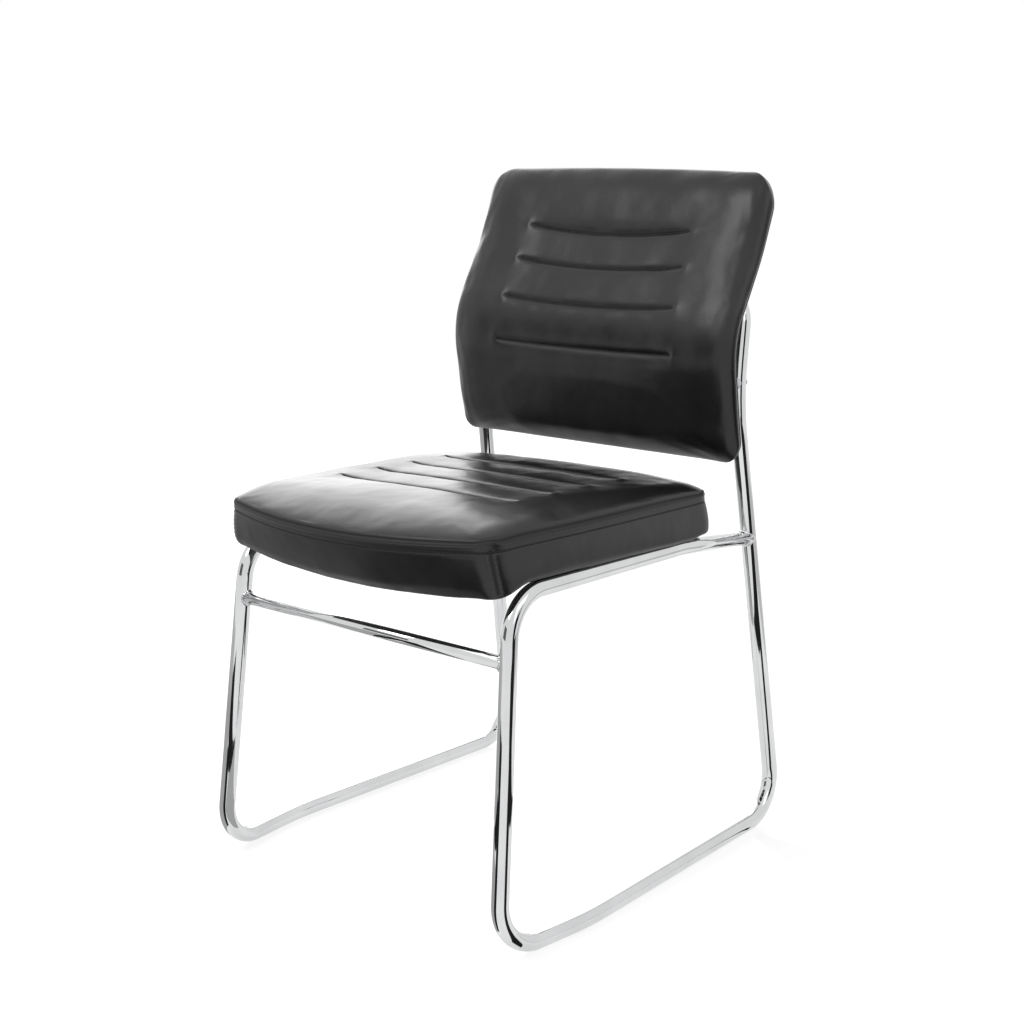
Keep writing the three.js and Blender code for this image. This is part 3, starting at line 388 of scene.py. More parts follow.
# Tubes

def bent_route(corners, bends, step=ARC_STEP):
    """Points of straight runs joined by tangent arcs."""
    corners = [Vector(c) for c in corners]
    route = [corners[0]]
    for i in range(1, len(corners) - 1):
        into = (corners[i] - corners[i - 1]).normalized()
        out = (corners[i + 1] - corners[i]).normalized()
        turn = into.angle(out)
        radius = bends[i - 1]
        start = corners[i] - into * radius * math.tan(turn / 2)
        inwards = (out - into * out.dot(into)).normalized()
        centre = start + inwards * radius
        steps = max(2, math.ceil(turn / step))
        for k in range(steps + 1):
            angle = turn * k / steps
            route.append(centre + into * radius * math.sin(angle) - inwards * radius * math.cos(angle))
    route.append(corners[-1])
    return route


def end_faces(rows, sides):
    """The faces that close the first and the last row of points."""
    return [list(range(sides))[::-1], list(range((rows - 1) * sides, rows * sides))]


def row_faces(here, there, sides):
    """The faces between two rows of points, from the first number of each."""
    return [(here + k, here + (k + 1) % sides, there + (k + 1) % sides, there + k) for k in range(sides)]


def sweep(route, radius_at, sides, closed=False):
    """A tube's points and faces along a route. radius_at gives the radius at a point's number."""
    count = len(route)
    points = []
    faces = []
    normal = Vector((1, 0, 0))
    for i, place in enumerate(route):
        before = route[i - 1] if i or closed else route[0]
        after = route[(i + 1) % count] if i + 1 < count or closed else route[-1]
        along = (after - before).normalized()
        if i == 0 and abs(along.x) > 0.8:
            normal = Vector((0, 0, 1))
        normal = (normal - along * normal.dot(along)).normalized()
        other = along.cross(normal)
        for k in range(sides):
            angle = 2 * math.pi * k / sides
            points.append(place + (normal * math.cos(angle) + other * math.sin(angle)) * radius_at(i))
    for i in range(count if closed else count - 1):
        faces += row_faces(i * sides, (i + 1) % count * sides, sides)
    return points, faces if closed else faces + end_faces(count, sides)


def joined(*bodies):
    points = []
    faces = []
    for more_points, more_faces in bodies:
        offset = len(points)
        points += more_points
        faces += [[offset + i for i in face] for face in more_faces]
    return points, faces


def weld(place, along, half_width, half_height, axis, seed):
    """A lumpy bead where a branch meets a tube at a place on its axis, fuller above and below."""
    side = axis.cross(along).normalized()
    up = along.cross(side).normalized()
    flat_along = along - axis * along.dot(axis)
    a = flat_along.length_squared
    loop = []
    for k in range(WELD_STEPS):
        angle = 2 * math.pi * k / WELD_STEPS
        start = (place - along * TUBE_RADIUS * 2 + side * half_width * math.cos(angle)
                 + up * half_height * math.sin(angle))
        offset = start - place
        offset -= axis * offset.dot(axis)
        b = 2 * offset.dot(flat_along)
        c = offset.length_squared - TUBE_RADIUS ** 2
        reach = (-b - math.sqrt(max(0.0, b * b - 4 * a * c))) / (2 * a)
        loop.append(start + along * reach)

    def radius_at(i):
        angle = 2 * math.pi * i / WELD_STEPS
        lumps = noise.noise((seed, math.cos(angle) * WELD_LUMPS[0], math.sin(angle) * WELD_LUMPS[0]))
        ripple = 1 + WELD_RIPPLES[1] * math.sin(angle * WELD_RIPPLES[0]) + WELD_LUMPS[1] * lumps
        return WELD_RADIUS * (0.55 + 0.75 * math.sin(angle) ** 2) * ripple

    return sweep(loop, radius_at, 12, closed=True)


def mirrored_body(body):
    points, faces = body
    return [Vector((-p.x, p.y, p.z)) for p in points], [list(f)[::-1] for f in faces]


def left_side_body():
    """The left side's tube, with its flattened rail end welded to the upright."""
    points, faces = sweep(bent_route(TUBE_CORNERS, TUBE_BENDS), lambda i: TUBE_RADIUS, TUBE_SIDES)
    kink = Vector(RAIL_KINK)
    end = Vector(RAIL_END)
    for p in points[:TUBE_SIDES]:
        middle = mixed(kink.z, end.z, (p.y - kink.y) / (end.y - kink.y))
        p.z = mixed(middle, p.z, RAIL_SQUASH_SHARE)
    upright = (Vector(LUMBAR) - Vector(REAR_CORNER)).normalized()
    rail = (end - kink).normalized()
    bead = weld(end, rail, TUBE_RADIUS, TUBE_RADIUS * RAIL_SQUASH_SHARE, upright, 3.0)
    return joined((points, faces), bead)


def stretcher_body():
    place = Vector(FRONT_CORNER).lerp(Vector(RAIL_FRONT), STRETCHER_LEG_SHARE)
    leg = (Vector(RAIL_FRONT) - Vector(FRONT_CORNER)).normalized()
    inner = place - Vector((TUBE_RADIUS * 0.6, 0, 0))
    outer = Vector((-inner.x, inner.y, inner.z))
    bead = weld(place, Vector((1, 0, 0)), STRETCHER_RADIUS, STRETCHER_RADIUS, leg, 7.0)
    tube = sweep([outer, inner], lambda i: STRETCHER_RADIUS, TUBE_SIDES)
    return joined(tube, bead, mirrored_body(bead))


left_body = left_side_body()
new_piece("side_tube_left", *left_body, chrome, "chrome", ["side_frame_left"])
new_piece("side_tube_right", *mirrored_body(left_body), chrome, "chrome", ["side_frame_right"])
new_piece("stretcher_tube", *stretcher_body(), chrome, "chrome", ["front_stretcher"])


# Pads: closed bodies of rings round a square core, so that every face has four sides

EVEN = np.linspace(0, 1, CELLS + 1)


def clustered(low, high, lines, reach):
    """Shares of a length, closer together near some lines across it."""
    fine = np.linspace(low, high, 2001)
    middle = (low + high) / 2
    outer_lines = [middle + (line - middle) / CORE_SHARE for line in lines]
    density = 1 + CROWDING * sum(np.exp(-((fine - line) / reach) ** 4) for line in outer_lines)
    total = np.concatenate([[0], np.cumsum((density[1:] + density[:-1]) / 2)])
    return np.interp(EVEN, total / total[-1], np.linspace(0, 1, len(fine)))


def lengths_along(points):
    """Each point's distance along a line from its first point."""
    return np.concatenate([[0], np.cumsum(np.linalg.norm(np.diff(points, axis=0), axis=1))])


def points_along(points, lengths, wanted):
    return np.column_stack([np.interp(wanted, lengths, column) for column in points.T])


def side_points(dense, corners, rows):
    """Points of a closed outline, the same number on each of its four sides."""
    found = []
    for k in range(4):
        start = corners[k]
        end = corners[(k + 1) % 4]
        run = dense[start:end + 1] if end > start else np.vstack([dense[start:], dense[:end + 1]])
        lengths = lengths_along(run)
        shares = (EVEN, rows, EVEN, 1 - rows[::-1])[k]
        found.append(points_along(run, lengths, lengths[-1] * shares[:-1]))
    return np.vstack(found)


def rounded_outline(low, high, half_at, low_corner, high_corner, rows):
    """Outline of a shape with four round corners, from its low left corner round to the right."""
    def corner_points(side, end, radius, centre):
        angles = np.linspace(0, math.pi / 2, CORNER_STEPS + 1)
        across = half_at(centre) - radius + radius * np.cos(angles)
        return np.column_stack([side * across, centre + end * radius * np.sin(angles)])

    low_centre = low + low_corner
    high_centre = high - high_corner
    middles = np.linspace(low_centre, high_centre, CORNER_STEPS + 2)[1:-1]
    widths = np.array([half_at(y) for y in middles])
    dense = np.vstack([
        corner_points(-1, -1, low_corner, low_centre),
        corner_points(1, -1, low_corner, low_centre)[::-1],
        np.column_stack([widths, middles]),
        corner_points(1, 1, high_corner, high_centre),
        corner_points(-1, 1, high_corner, high_centre)[::-1],
        np.column_stack([-widths, middles])[::-1]])
    first = CORNER_STEPS // 2
    second = first + CORNER_STEPS + 1
    third = second + CORNER_STEPS * 2 + 1
    return side_points(dense, [first, second, third, third + CORNER_STEPS + 1], rows)


def core_points(ring, rows):
    """Points inside a ring of four sides, by blending its opposite sides."""
    low = ring[:CELLS + 1]
    right = ring[CELLS:2 * CELLS + 1]
    high = ring[2 * CELLS:3 * CELLS + 1][::-1]
    left = np.vstack([ring[3 * CELLS:], ring[:1]])[::-1]
    s = EVEN[None, :, None]
    t = rows[:, None, None]
    blend = (1 - t) * low[None] + t * high[None] + (1 - s) * left[:, None] + s * right[:, None]
    blend -= (1 - s) * (1 - t) * low[0] + s * (1 - t) * low[-1] + (1 - s) * t * high[0] + s * t * high[-1]
    return blend


def scaled_ring(outline, share):
    centre = (outline.min(axis=0) + outline.max(axis=0)) / 2
    return centre + (outline - centre) * share


class PadMesh:
    """A closed body of rings. Square cells fill the first ring and the last."""

    def __init__(self, rows):
        self.rows = rows
        self.points = []
        self.raw = []
        self.rings = []
        self.ways = []

    def put(self, x, y, place_at, from_seam):
        self.points.append(place_at(x, y))
        self.raw.append((x, y, from_seam))
        return len(self.points) - 1

    def ring(self, outline, place_at, from_seam=0.0):
        self.rings.append([self.put(x, y, place_at, from_seam) for x, y in outline])
        self.ways.append((outline, place_at, from_seam))

    def roll(self, outline, place_at, lip, half):
        """The rings of a face's rolled edge, wider apart towards its core."""
        for k in range(TOP_RINGS + 1):
            inwards = (1 - CORE_SHARE) * (k / TOP_RINGS) ** RING_SPREAD
            self.ring(scaled_ring(outline, 1 - inwards), place_at, lip + inwards * half)

    def core(self, end, from_seam, turned):
        outline, place_at, _ = self.ways[end]
        ring = self.rings[end]
        raw = core_points(outline, self.rows)
        numbers = np.zeros((CELLS + 1, CELLS + 1), int)
        numbers[0, :] = ring[:CELLS + 1]
        numbers[:, CELLS] = ring[CELLS:2 * CELLS + 1]
        numbers[CELLS, ::-1] = ring[2 * CELLS:3 * CELLS + 1]
        numbers[::-1, 0] = ring[3 * CELLS:] + ring[:1]
        for j in range(1, CELLS):
            for i in range(1, CELLS):
                numbers[j, i] = self.put(*raw[j, i], place_at, from_seam)
        quads = [(numbers[j, i], numbers[j, i + 1], numbers[j + 1, i + 1], numbers[j + 1, i])
                 for j in range(CELLS) for i in range(CELLS)]
        return [q[::-1] for q in quads] if turned else quads

    def close(self):
        """Points and faces, when the last ring is in."""
        faces = []
        for ring in self.rings[:-1]:
            faces += row_faces(ring[0], ring[0] + len(ring), len(ring))
        faces += self.core(0, self.ways[0][2], True) + self.core(-1, FAR_INSIDE, False)
        return self.points, faces


def store(mesh, name, values):
    attribute = mesh.attributes.new(name, "FLOAT", "POINT")
    attribute.data.foreach_set("value", np.asarray(values, np.float32))


def read(items, name, width=3, kind=np.float32):
    values = np.empty(len(items) * width, kind)
    items.foreach_get(name, values)
    return values.reshape(-1, width)


def stored(mesh, name):
    return read(mesh.attributes[name].data, "value", 1).ravel().astype(float)


def get_points(mesh):
    return read(mesh.vertices, "co").astype(float)


def get_normals(mesh):
    return read(mesh.vertex_normals, "vector").astype(float)


def set_points(mesh, points):
    mesh.vertices.foreach_set("co", points.ravel())
    mesh.update()


def calmed(mesh, moved, hold):
    """Averages the moves over the mesh, so that the leather is taut with few wrinkles left."""
    one, other = read(mesh.edges, "vertices", 2, np.int32).T
    count = len(moved)
    shares = np.bincount(one, minlength=count) + np.bincount(other, minlength=count)
    smooth = moved.copy()
    for _ in range(CALM_ROUNDS):
        total = np.column_stack([
            np.bincount(one, smooth[other, i], count) + np.bincount(other, smooth[one, i], count)
            for i in range(3)])
        smooth = (smooth + total) / (1 + shares)[:, None] * (1 - hold)[:, None]
    return smooth + (moved - smooth) * WRINKLES_LEFT


def swell(piece, hold):
    """Blows the pad up as cloth that is held at its sewn and stapled places."""
    group = piece.vertex_groups.new(name="held")
    for number, weight in enumerate(hold):
        if weight > 0.01:
            group.add([number], float(weight), "REPLACE")
    before = get_points(piece.data)
    cloth = piece.modifiers.new("cloth", "CLOTH")
    for key, value in CLOTH.items():
        setattr(cloth.settings, key, value)
    cloth.settings.vertex_group_mass = "held"
    cloth.settings.effector_weights.gravity = 0
    cloth.collision_settings.use_collision = False
    scene = bpy.context.scene
    scene.frame_start = 1
    scene.frame_end = CLOTH_FRAMES
    for number in range(1, CLOTH_FRAMES + 1):
        scene.frame_set(number)
    shaped = piece.evaluated_get(bpy.context.evaluated_depsgraph_get())
    after = get_points(shaped.data)
    piece.modifiers.remove(cloth)
    piece.vertex_groups.remove(group)
    scene.frame_set(1)
    moved = calmed(piece.data, after - before, hold)
    far = np.linalg.norm(moved, axis=1, keepdims=True)
    moved *= np.minimum(1, MOST_SWELL / np.maximum(far, 1e-9))
    set_points(piece.data, before + moved)


def subdivided(piece):
    """Applies one subdivision, which keeps the stored values."""
    modifier = piece.modifiers.new("finer", "SUBSURF")
    modifier.levels = 1
    modifier.render_levels = 1
    shaped = piece.evaluated_get(bpy.context.evaluated_depsgraph_get())
    finer = bpy.data.meshes.new_from_object(shaped)
    piece.modifiers.remove(modifier)
    old = piece.data
    piece.data = finer
    bpy.data.meshes.remove(old)
    piece.data.shade_smooth()


def soft_noise(points, scale, seed):
    shift = Vector((seed, seed * 2.3, seed * 4.1))
    return np.array([noise.noise(Vector(p) * scale + shift) for p in points])


def groove(distance, width):
    return np.exp(-np.abs(distance / width) ** 1.5)


def fold(distance, width):
    """A sharp fold in stretched leather."""
    return np.exp(-np.abs(distance) / width)


class Channels:
    """A pad's sewn channels, which may sag in their middles. Sizes run from the first to the last."""

    def __init__(self, lines, halves, sags, depth, softness, shade_width, pucker):
        self.depth, self.softness, self.shade_width, self.pucker = depth, softness, shade_width, pucker
        shares = [(line - lines[0]) / (lines[-1] - lines[0]) for line in lines]
        self.rows = [(line, mixed(*halves, share), mixed(*sags, share)) for line, share in zip(lines, shares)]

    def each(self, x, y):
        """Each channel's half length, and the distance above its line."""
        for line, half, sag in self.rows:
            yield half, y - (line - sag * np.maximum(0, 1 - (x / half) ** 2))

    def window(self, x, half, softness):
        return 1 - smooth_step(np.abs(x), half - softness, half + CHANNEL_END)

    def drawn(self, x, y):
        """How far the leather is drawn in round the channels, from 0 to 1."""
        return sum(fold(offset, CHANNEL_SPREAD) * self.window(x, half, self.softness)
                   for half, offset in self.each(x, y))

    def sewn(self, x, y):
        """The push of the sewn lines, with a pucker at each end, and the painted shade that darkens their
        grooves.
        """
        push = np.zeros(len(x))
        shade = np.zeros(len(x))
        for half, offset in self.each(x, y):
            window = self.window(x, half, CHANNEL_FADE)
            push -= fold(offset, CHANNEL_WIDTH) * window * self.depth * CHANNEL_SHARES[1]
            # Painted shade along each sewn line's groove.
            shade += groove(offset, self.shade_width) * window
            ends = groove(np.abs(x) - half - CHANNEL_END, CHANNEL_END)
            push += ends * groove(offset, PUCKER_WIDTH) * self.pucker
        return np.array([push, shade])

    def lines(self, place_at):
        """The channels' lines of places, for stitches."""
        for line, half, sag in self.rows:
            yield [place_at(x, line - sag * max(0.0, 1 - (x / half) ** 2))
                   for x in np.linspace(-half, half, LINE_STEPS)]


SEAT_LINES = [SEAT_FRONT + 0.122 + i * 0.0625 for i in range(4)]
BACK_LINES = [0.612 + i * 0.0455 for i in range(4)]
SEAT_ROWS = clustered(SEAT_FRONT, SEAT_REAR, SEAT_LINES, 0.010)
BACK_ROWS = clustered(BACK_BOTTOM, BACK_TOP, [line - 0.003 for line in BACK_LINES], 0.012)
seat_channels = Channels(SEAT_LINES, halves=(0.137, 0.137), sags=(0, 0), depth=0.0052, softness=0.028,
                         shade_width=0.0017, pucker=0.0011)
back_channels = Channels(BACK_LINES, halves=(0.138, 0.125), sags=(0.002, 0.008), depth=0.0040,
                         softness=0.035, shade_width=0.0016, pucker=0.0010)


RAW_NAMES = ("raw_x", "raw_y", "from_seam")


def new_cushion(name, pad, replaced):
    """A leather pad that keeps each point's raw place."""
    piece = new_piece(name, *pad.close(), leather, "leather", replaced)
    raw = np.array(pad.raw).T
    for key, values in zip(RAW_NAMES, raw):
        store(piece.data, key, values)
    return piece, *raw


def finer_cushion(piece, hold):
    """Swells and subdivides a pad, and reads its mesh back."""
    swell(piece, hold)
    subdivided(piece)
    mesh = piece.data
    raw = (stored(mesh, key) for key in RAW_NAMES)
    return mesh, get_points(mesh), get_normals(mesh), *raw


# Seat

def rail_top(y):
    share = (y - RAIL_FRONT[1]) / (RAIL_KINK[1] - RAIL_FRONT[1])
    return RAIL_FRONT[2] + TUBE_RADIUS - (RAIL_FRONT[2] - RAIL_KINK[2]) * share


def roll_share(distance, roll):
    t = min(1.0, max(0.0, 1 - distance / roll))
    return math.sqrt(1 - t * t)


def seam_height(y):
    return rail_top(SEAT_FRONT) + SEAM_ABOVE_RAIL - SEAM_FALL * (y - SEAT_FRONT) / SEAT_DEPTH


def front_fade(y, length):
    return 1 - smooth_step(y, SEAT_FRONT, SEAT_FRONT + length)


def share_behind(y, length=SEAT_DEPTH):
    """Share of a length behind the seat's front, from 0 to 1."""
    return min(1.0, max(0.0, (y - SEAT_FRONT) / length))


def seat_half(y):
    return mixed(*SEAT_HALVES, math.sin(share_behind(y, SEAT_DEPTH / 2) * math.pi / 2))


class SeatLevel:
    """The seat's outline at a level, from 0 at the top seam to 1 at the band's lower edge."""

    def __init__(self, share, inset=0.0):
        self.share = share
        self.bulge = BAND_BULGE * math.sin(math.pi * share)
        self.bow = SEAT_FRONT_BOW - BAND_BOW_TUCK * share
        self.dip = mixed(SEAT_FRONT_DIP, BAND_FRONT_DIP, share)
        grown = self.bulge - inset
        self.outline = rounded_outline(
            SEAT_FRONT + BAND_CORNER_TUCK * share - grown, SEAT_REAR + grown,
            lambda y: self.full_half(y) - inset, SEAT_CORNERS[0], SEAT_CORNERS[1] - inset, SEAT_ROWS)

    def full_half(self, y):
        lower = mixed(*BAND_LOWER_HALVES, share_behind(y))
        return mixed(seat_half(y), lower, self.share) + self.bulge

    def place(self, x, y, height):
        across = x / self.full_half(y)
        dip_half = mixed(self.full_half(y), RAIL_FRONT[0] - 2.5 * TUBE_RADIUS, self.share)
        dip_share = max(0.0, 1 - (x / dip_half) ** 2)
        fade = front_fade(y, SEAT_BOW_FADE)
        lift = SEAT_LEFT_LIFT * across * (1 - self.share)
        return (x, y - self.bow * (1 - across ** 2) * fade, height - self.dip * dip_share * fade + lift)

    def on_band(self, x, y):
        return self.place(x, y, mixed(seam_height(y), band_lower_edge(y), self.share))


def seat_rise(x, y):
    half = seat_half(y)
    front, rear, side = SEAT_ROLLS
    length_roll = roll_share(y - SEAT_FRONT, front) * roll_share(SEAT_REAR - y, rear)
    roll = roll_share(half - abs(x), side) * length_roll
    crown = SEAT_CROWN * max(0.0, 1 - (x / half) ** 2) * length_roll
    sink = SEAT_REAR_SINK * smooth_step(y, SEAT_REAR - SEAT_REAR_SINK_LENGTH, SEAT_REAR) * (x / half) ** 4
    return SEAT_LIP + (SEAT_RISE - SEAT_LIP - sink) * roll + crown


def underside(y):
    return rail_top(y) - FRONT_EDGE_DROP * front_fade(y, FRONT_EDGE_FADE)


def band_lower_edge(y):
    low_corner = SEAT_REAR - SEAT_CORNERS[1]
    lift = smooth_step(y, low_corner - 2 * TUBE_RADIUS, low_corner)
    return underside(y) - mixed(*BAND_HANGS, share_behind(y)) * (1 - lift)


def seat_pad():
    pad = PadMesh(SEAT_ROWS)
    low = SeatLevel(1, BAND_EDGE_RADIUS + 0.004)
    for share in (CORE_SHARE, 0.95, 1):
        pad.ring(scaled_ring(low.outline, share),
                 lambda x, y: low.place(x, y, underside(y) + BOARD_ABOVE_RAIL), FAR_BELOW)
    for turn in EDGE_TURNS:
        level = SeatLevel(1, BAND_EDGE_RADIUS * (1 - math.sin(turn)))
        above = BAND_EDGE_RADIUS * (1 - math.cos(turn))
        pad.ring(level.outline, lambda x, y: level.place(x, y, band_lower_edge(y) + above), FAR_BELOW)
    for share in BAND_LEVELS:
        level = SeatLevel(share)
        pad.ring(level.outline, level.on_band, -share * BAND_HEIGHT)
    top = SeatLevel(0)
    pad.ring(top.outline, lambda x, y: top.place(x, y, seam_height(y) + seat_rise(x, y) / 2), SEAT_LIP / 2)
    pad.roll(top.outline, lambda x, y: top.place(x, y, seam_height(y) + seat_rise(x, y)), SEAT_LIP,
             SEAT_HALVES[1])
    return pad


def around_from_corner(pad):
    """Distance along the outline from the nearer front corner, on each of the pad's rings."""
    values = np.full(len(pad.points), FAR_INSIDE)
    for ring in pad.rings:
        *along, total = lengths_along(np.array([pad.points[i] for i in (*ring, ring[0])]))
        for corner in (0, CELLS):
            offset = np.array(along) - along[corner]
            offset = np.abs((offset + total / 2) % total - total / 2)
            values[ring] = np.minimum(values[ring], offset)
    return values


def make_seat():
    pad = seat_pad()
    piece, x, y, from_seam = new_cushion("seat_cushion", pad, ["seat_top_panel", "seat_boxing", "seat_foam"])
    store(piece.data, "from_corner", around_from_corner(pad))
    points = get_points(piece.data)
    channel = seat_channels.drawn(x, y) * (from_seam > 0)
    points[:, 2] -= channel * seat_channels.depth * CHANNEL_SHARES[0]
    set_points(piece.data, points)
    hold = np.where(from_seam < BELOW_BAND, 1.0, 0.0)
    hold = np.maximum(hold, np.exp(-(from_seam / SEAM_HOLD_WIDTH) ** 2) * SEAM_HOLD)
    hold = np.maximum(hold, smooth_step(channel, *CHANNEL_HOLD))
    mesh, points, normals, x, y, from_seam = finer_cushion(piece, hold)
    from_corner = stored(mesh, "from_corner")
    push, shade = seat_channels.sewn(x, y) * (from_seam > 0)
    from_row = np.abs(from_seam) - SEAM_ROW_OFFSET
    push -= (groove(from_row, 0.0010) + 0.3 * groove(from_seam, 0.0008)) * SEAM_GROOVE
    push += groove(from_seam, SEAM_RIDGE_WIDTH) * 0.0010
    shade += groove(from_row, 0.0011)
    on_band = (from_seam < -0.0015) & (from_seam > BELOW_BAND)
    corner_rows = groove(from_corner - CORNER_ROW_OFFSET, 0.0011) + 1.1 * groove(from_corner, 0.0010)
    push -= corner_rows * on_band * SEAM_GROOVE
    push += groove(from_corner, SEAM_RIDGE_WIDTH) * on_band * 0.0008
    shade += groove(from_corner, 0.0013) * on_band
    # Painted shade: the grooves of the channels, the stitch rows and the corner seams are darkened in the
    # leather's colour.
    store(mesh, "seam_shade", np.clip(shade, 0, 1))
    dents = soft_noise(points, 22, 1.7) * 0.0007 + soft_noise(points, 60, 5.1) * 0.00022
    push += dents * (np.abs(from_seam) > 0.008)
    set_points(mesh, points + normals * push[:, None])
    return piece


seat = make_seat()


# Back

_, back_line_y, back_line_z = np.array(
    bent_route([(0, y, z) for y, z in BACK_PROFILE], BACK_PROFILE_BENDS, math.radians(1))).T


def rear_seam(height):
    return np.interp(height, back_line_z, back_line_y)


def back_tilt(height):
    low = max(BACK_BOTTOM, height - TILT_STEP)
    high = min(BACK_TOP, height + TILT_STEP)
    return math.atan2(rear_seam(high) - rear_seam(low), high - low)


def back_place(x, height, depth):
    """A place at a depth in front of the rear seam's surface."""
    level = min(BACK_TOP, max(BACK_BOTTOM, height))
    arch = BACK_ARCH * (1 - (x / BACK_HALF) ** 2) * smooth_step(level, BACK_LINES[-1], BACK_TOP)
    tilt = back_tilt(level)
    return (x, rear_seam(level) + (arch + height - level) * math.tan(tilt) - depth * math.cos(tilt),
            height + arch + depth * math.sin(tilt))


def back_at(depth):
    return lambda x, height: back_place(x, height, depth)


def back_outline(inset):
    return rounded_outline(BACK_BOTTOM + inset, BACK_TOP - inset, lambda h: BACK_HALF - inset,
                           BACK_CORNERS[0] - inset, BACK_CORNERS[1] - inset, BACK_ROWS)


def back_depth(x, height):
    thickness = mixed(*BACK_THICKNESS, (height - BACK_BOTTOM) / (BACK_TOP - BACK_BOTTOM))
    end_roll, side_roll = BACK_ROLLS
    length_roll = (roll_share(height - BACK_BOTTOM + BACK_SWELL, end_roll)
                   * roll_share(BACK_TOP + BACK_SWELL - height, end_roll))
    roll = roll_share(BACK_HALF + BACK_SWELL - abs(x), side_roll) * length_roll
    hollow = BACK_HOLLOW * max(0.0, 1 - (x / BACK_HALF) ** 2) * length_roll
    return BACK_LIP + (thickness - BACK_LIP) * roll - hollow


def back_pad():
    pad = PadMesh(BACK_ROWS)
    skin = back_outline(BACK_SKIN)
    for share in (CORE_SHARE, 0.93, 1):
        pad.ring(scaled_ring(skin, share), back_at(BACK_PANEL_THICKNESS + 0.0004), FAR_BELOW)
    for inset, depth in BACK_EDGE:
        pad.ring(back_outline(inset), back_at(depth), depth)
    pad.roll(back_outline(-BACK_SWELL), lambda x, h: back_place(x, h, back_depth(x, h)), BACK_LIP, BACK_HALF)
    return pad


def make_back():
    pad = back_pad()
    piece, x, height, from_seam = new_cushion("back_cushion", pad, ["back_front_cover", "back_foam"])
    points = get_points(piece.data)
    normals = get_normals(piece.data)
    channel = back_channels.drawn(x, height) * (from_seam > BACK_LIP)
    drawn_in = channel * back_channels.depth * CHANNEL_SHARES[0]
    set_points(piece.data, points - normals * drawn_in[:, None])
    hold = np.maximum(np.where(from_seam < 0.006, 1.0, 0.0), smooth_step(channel, *CHANNEL_HOLD))
    mesh, points, normals, x, height, from_seam = finer_cushion(piece, hold)
    push, shade = back_channels.sewn(x, height) * (from_seam > BACK_LIP)
    from_piping = from_seam - BACK_PIPING
    push -= groove(from_piping, 0.0009) * 0.0014
    push += groove(from_seam - BACK_PIPING / 2, 0.0014) * 0.0005
    shade += groove(from_piping, 0.0010)
    # Painted shade: the grooves of the channels and of the piping are darkened in the leather's colour.
    store(mesh, "seam_shade", np.clip(shade, 0, 1))
    in_front = smooth_step(from_seam, 0.006, 0.03)
    at_side = (smooth_step(from_seam, 0.006, 0.014)
               * smooth_step(np.abs(x), BACK_HALF - 0.040, BACK_HALF - 0.005))
    dents = soft_noise(points * [1.0, 1.0, 0.45], 26, 9.3) * 0.0010 + soft_noise(points, 60, 2.2) * 0.0002
    push += dents * in_front + soft_noise(points * [1.0, 1.0, 0.30], 85, 4.4) * 0.0008 * at_side
    set_points(mesh, points + normals * push[:, None])
    return piece


def make_back_panel():
    """The leather rear, which fills the recess and rolls down to it at its edge."""
    pad = PadMesh(BACK_ROWS)
    inset = BACK_SKIN + BACK_PANEL_PLAY
    outline = back_outline(inset)
    pad.ring(scaled_ring(outline, CORE_SHARE), back_at(PANEL_FLUSH))
    for more, depth in PANEL_EDGE:
        pad.ring(back_outline(inset + more), back_at(depth))
    for share in (1, CORE_SHARE):
        pad.ring(scaled_ring(outline, share), back_at(BACK_PANEL_THICKNESS))
    return new_piece("back_rear_leather", *pad.close(), leather, "leather", ["back_rear_panel"])


def slab(outline, rows, first_at, last_at):
    """A thin body of one outline between two surfaces."""
    pad = PadMesh(rows)
    for share, place_at in ((CORE_SHARE, first_at), (1, first_at), (1, last_at), (CORE_SHARE, last_at)):
        pad.ring(scaled_ring(outline, share), place_at)
    return pad.close()


def make_back_board():
    """The plywood inside the back, shaped like the rear panel."""
    rear = BACK_PANEL_THICKNESS + BACK_BOARD_PLAY
    front = rear + BACK_BOARD_THICKNESS
    body = slab(back_outline(BACK_BOARD_INSET), BACK_ROWS, back_at(rear), back_at(front))
    return new_piece("back_plywood", *body, plywood, "plywood", ["back_board"])


back = make_back()
back_panel = make_back_panel()
make_back_board()


# Sewing: threads laid on the finished surfaces

def surface_of(piece):
    mesh = piece.data
    polygons = [tuple(p.vertices) for p in mesh.polygons]
    return BVHTree.FromPolygons([Vector(p) for p in get_points(mesh)], polygons)


def stitch_bodies(line, surface, closed=False):
    """Short thread bodies along a line of points, each dipping into the leather at both ends."""
    line = [Vector(p) for p in line]
    if closed:
        line.append(line[0])
    lengths = [0.0]
    for a, b in zip(line, line[1:]):
        lengths.append(lengths[-1] + (b - a).length)
    pitch = STITCH_LENGTH + STITCH_GAP
    stations = np.array(lengths)
    coordinates = np.array([tuple(p) for p in line])
    bodies = []
    for number in range(int(lengths[-1] / pitch)):
        start = number * pitch + STITCH_GAP / 2
        route = []
        for k in range(STITCH_STEPS + 1):
            share = k / STITCH_STEPS
            at = start + STITCH_LENGTH * share
            guess = Vector([np.interp(at, stations, coordinates[:, i]) for i in range(3)])
            place, normal, _, _ = surface.find_nearest(guess)
            height = THREAD_RADIUS * (0.9 * math.sin(math.pi * share) - 0.35)
            route.append(place + normal * height)
        bodies.append(sweep(route, lambda i: THREAD_RADIUS * (0.75 if i in (0, STITCH_STEPS) else 1), 6))
    return bodies


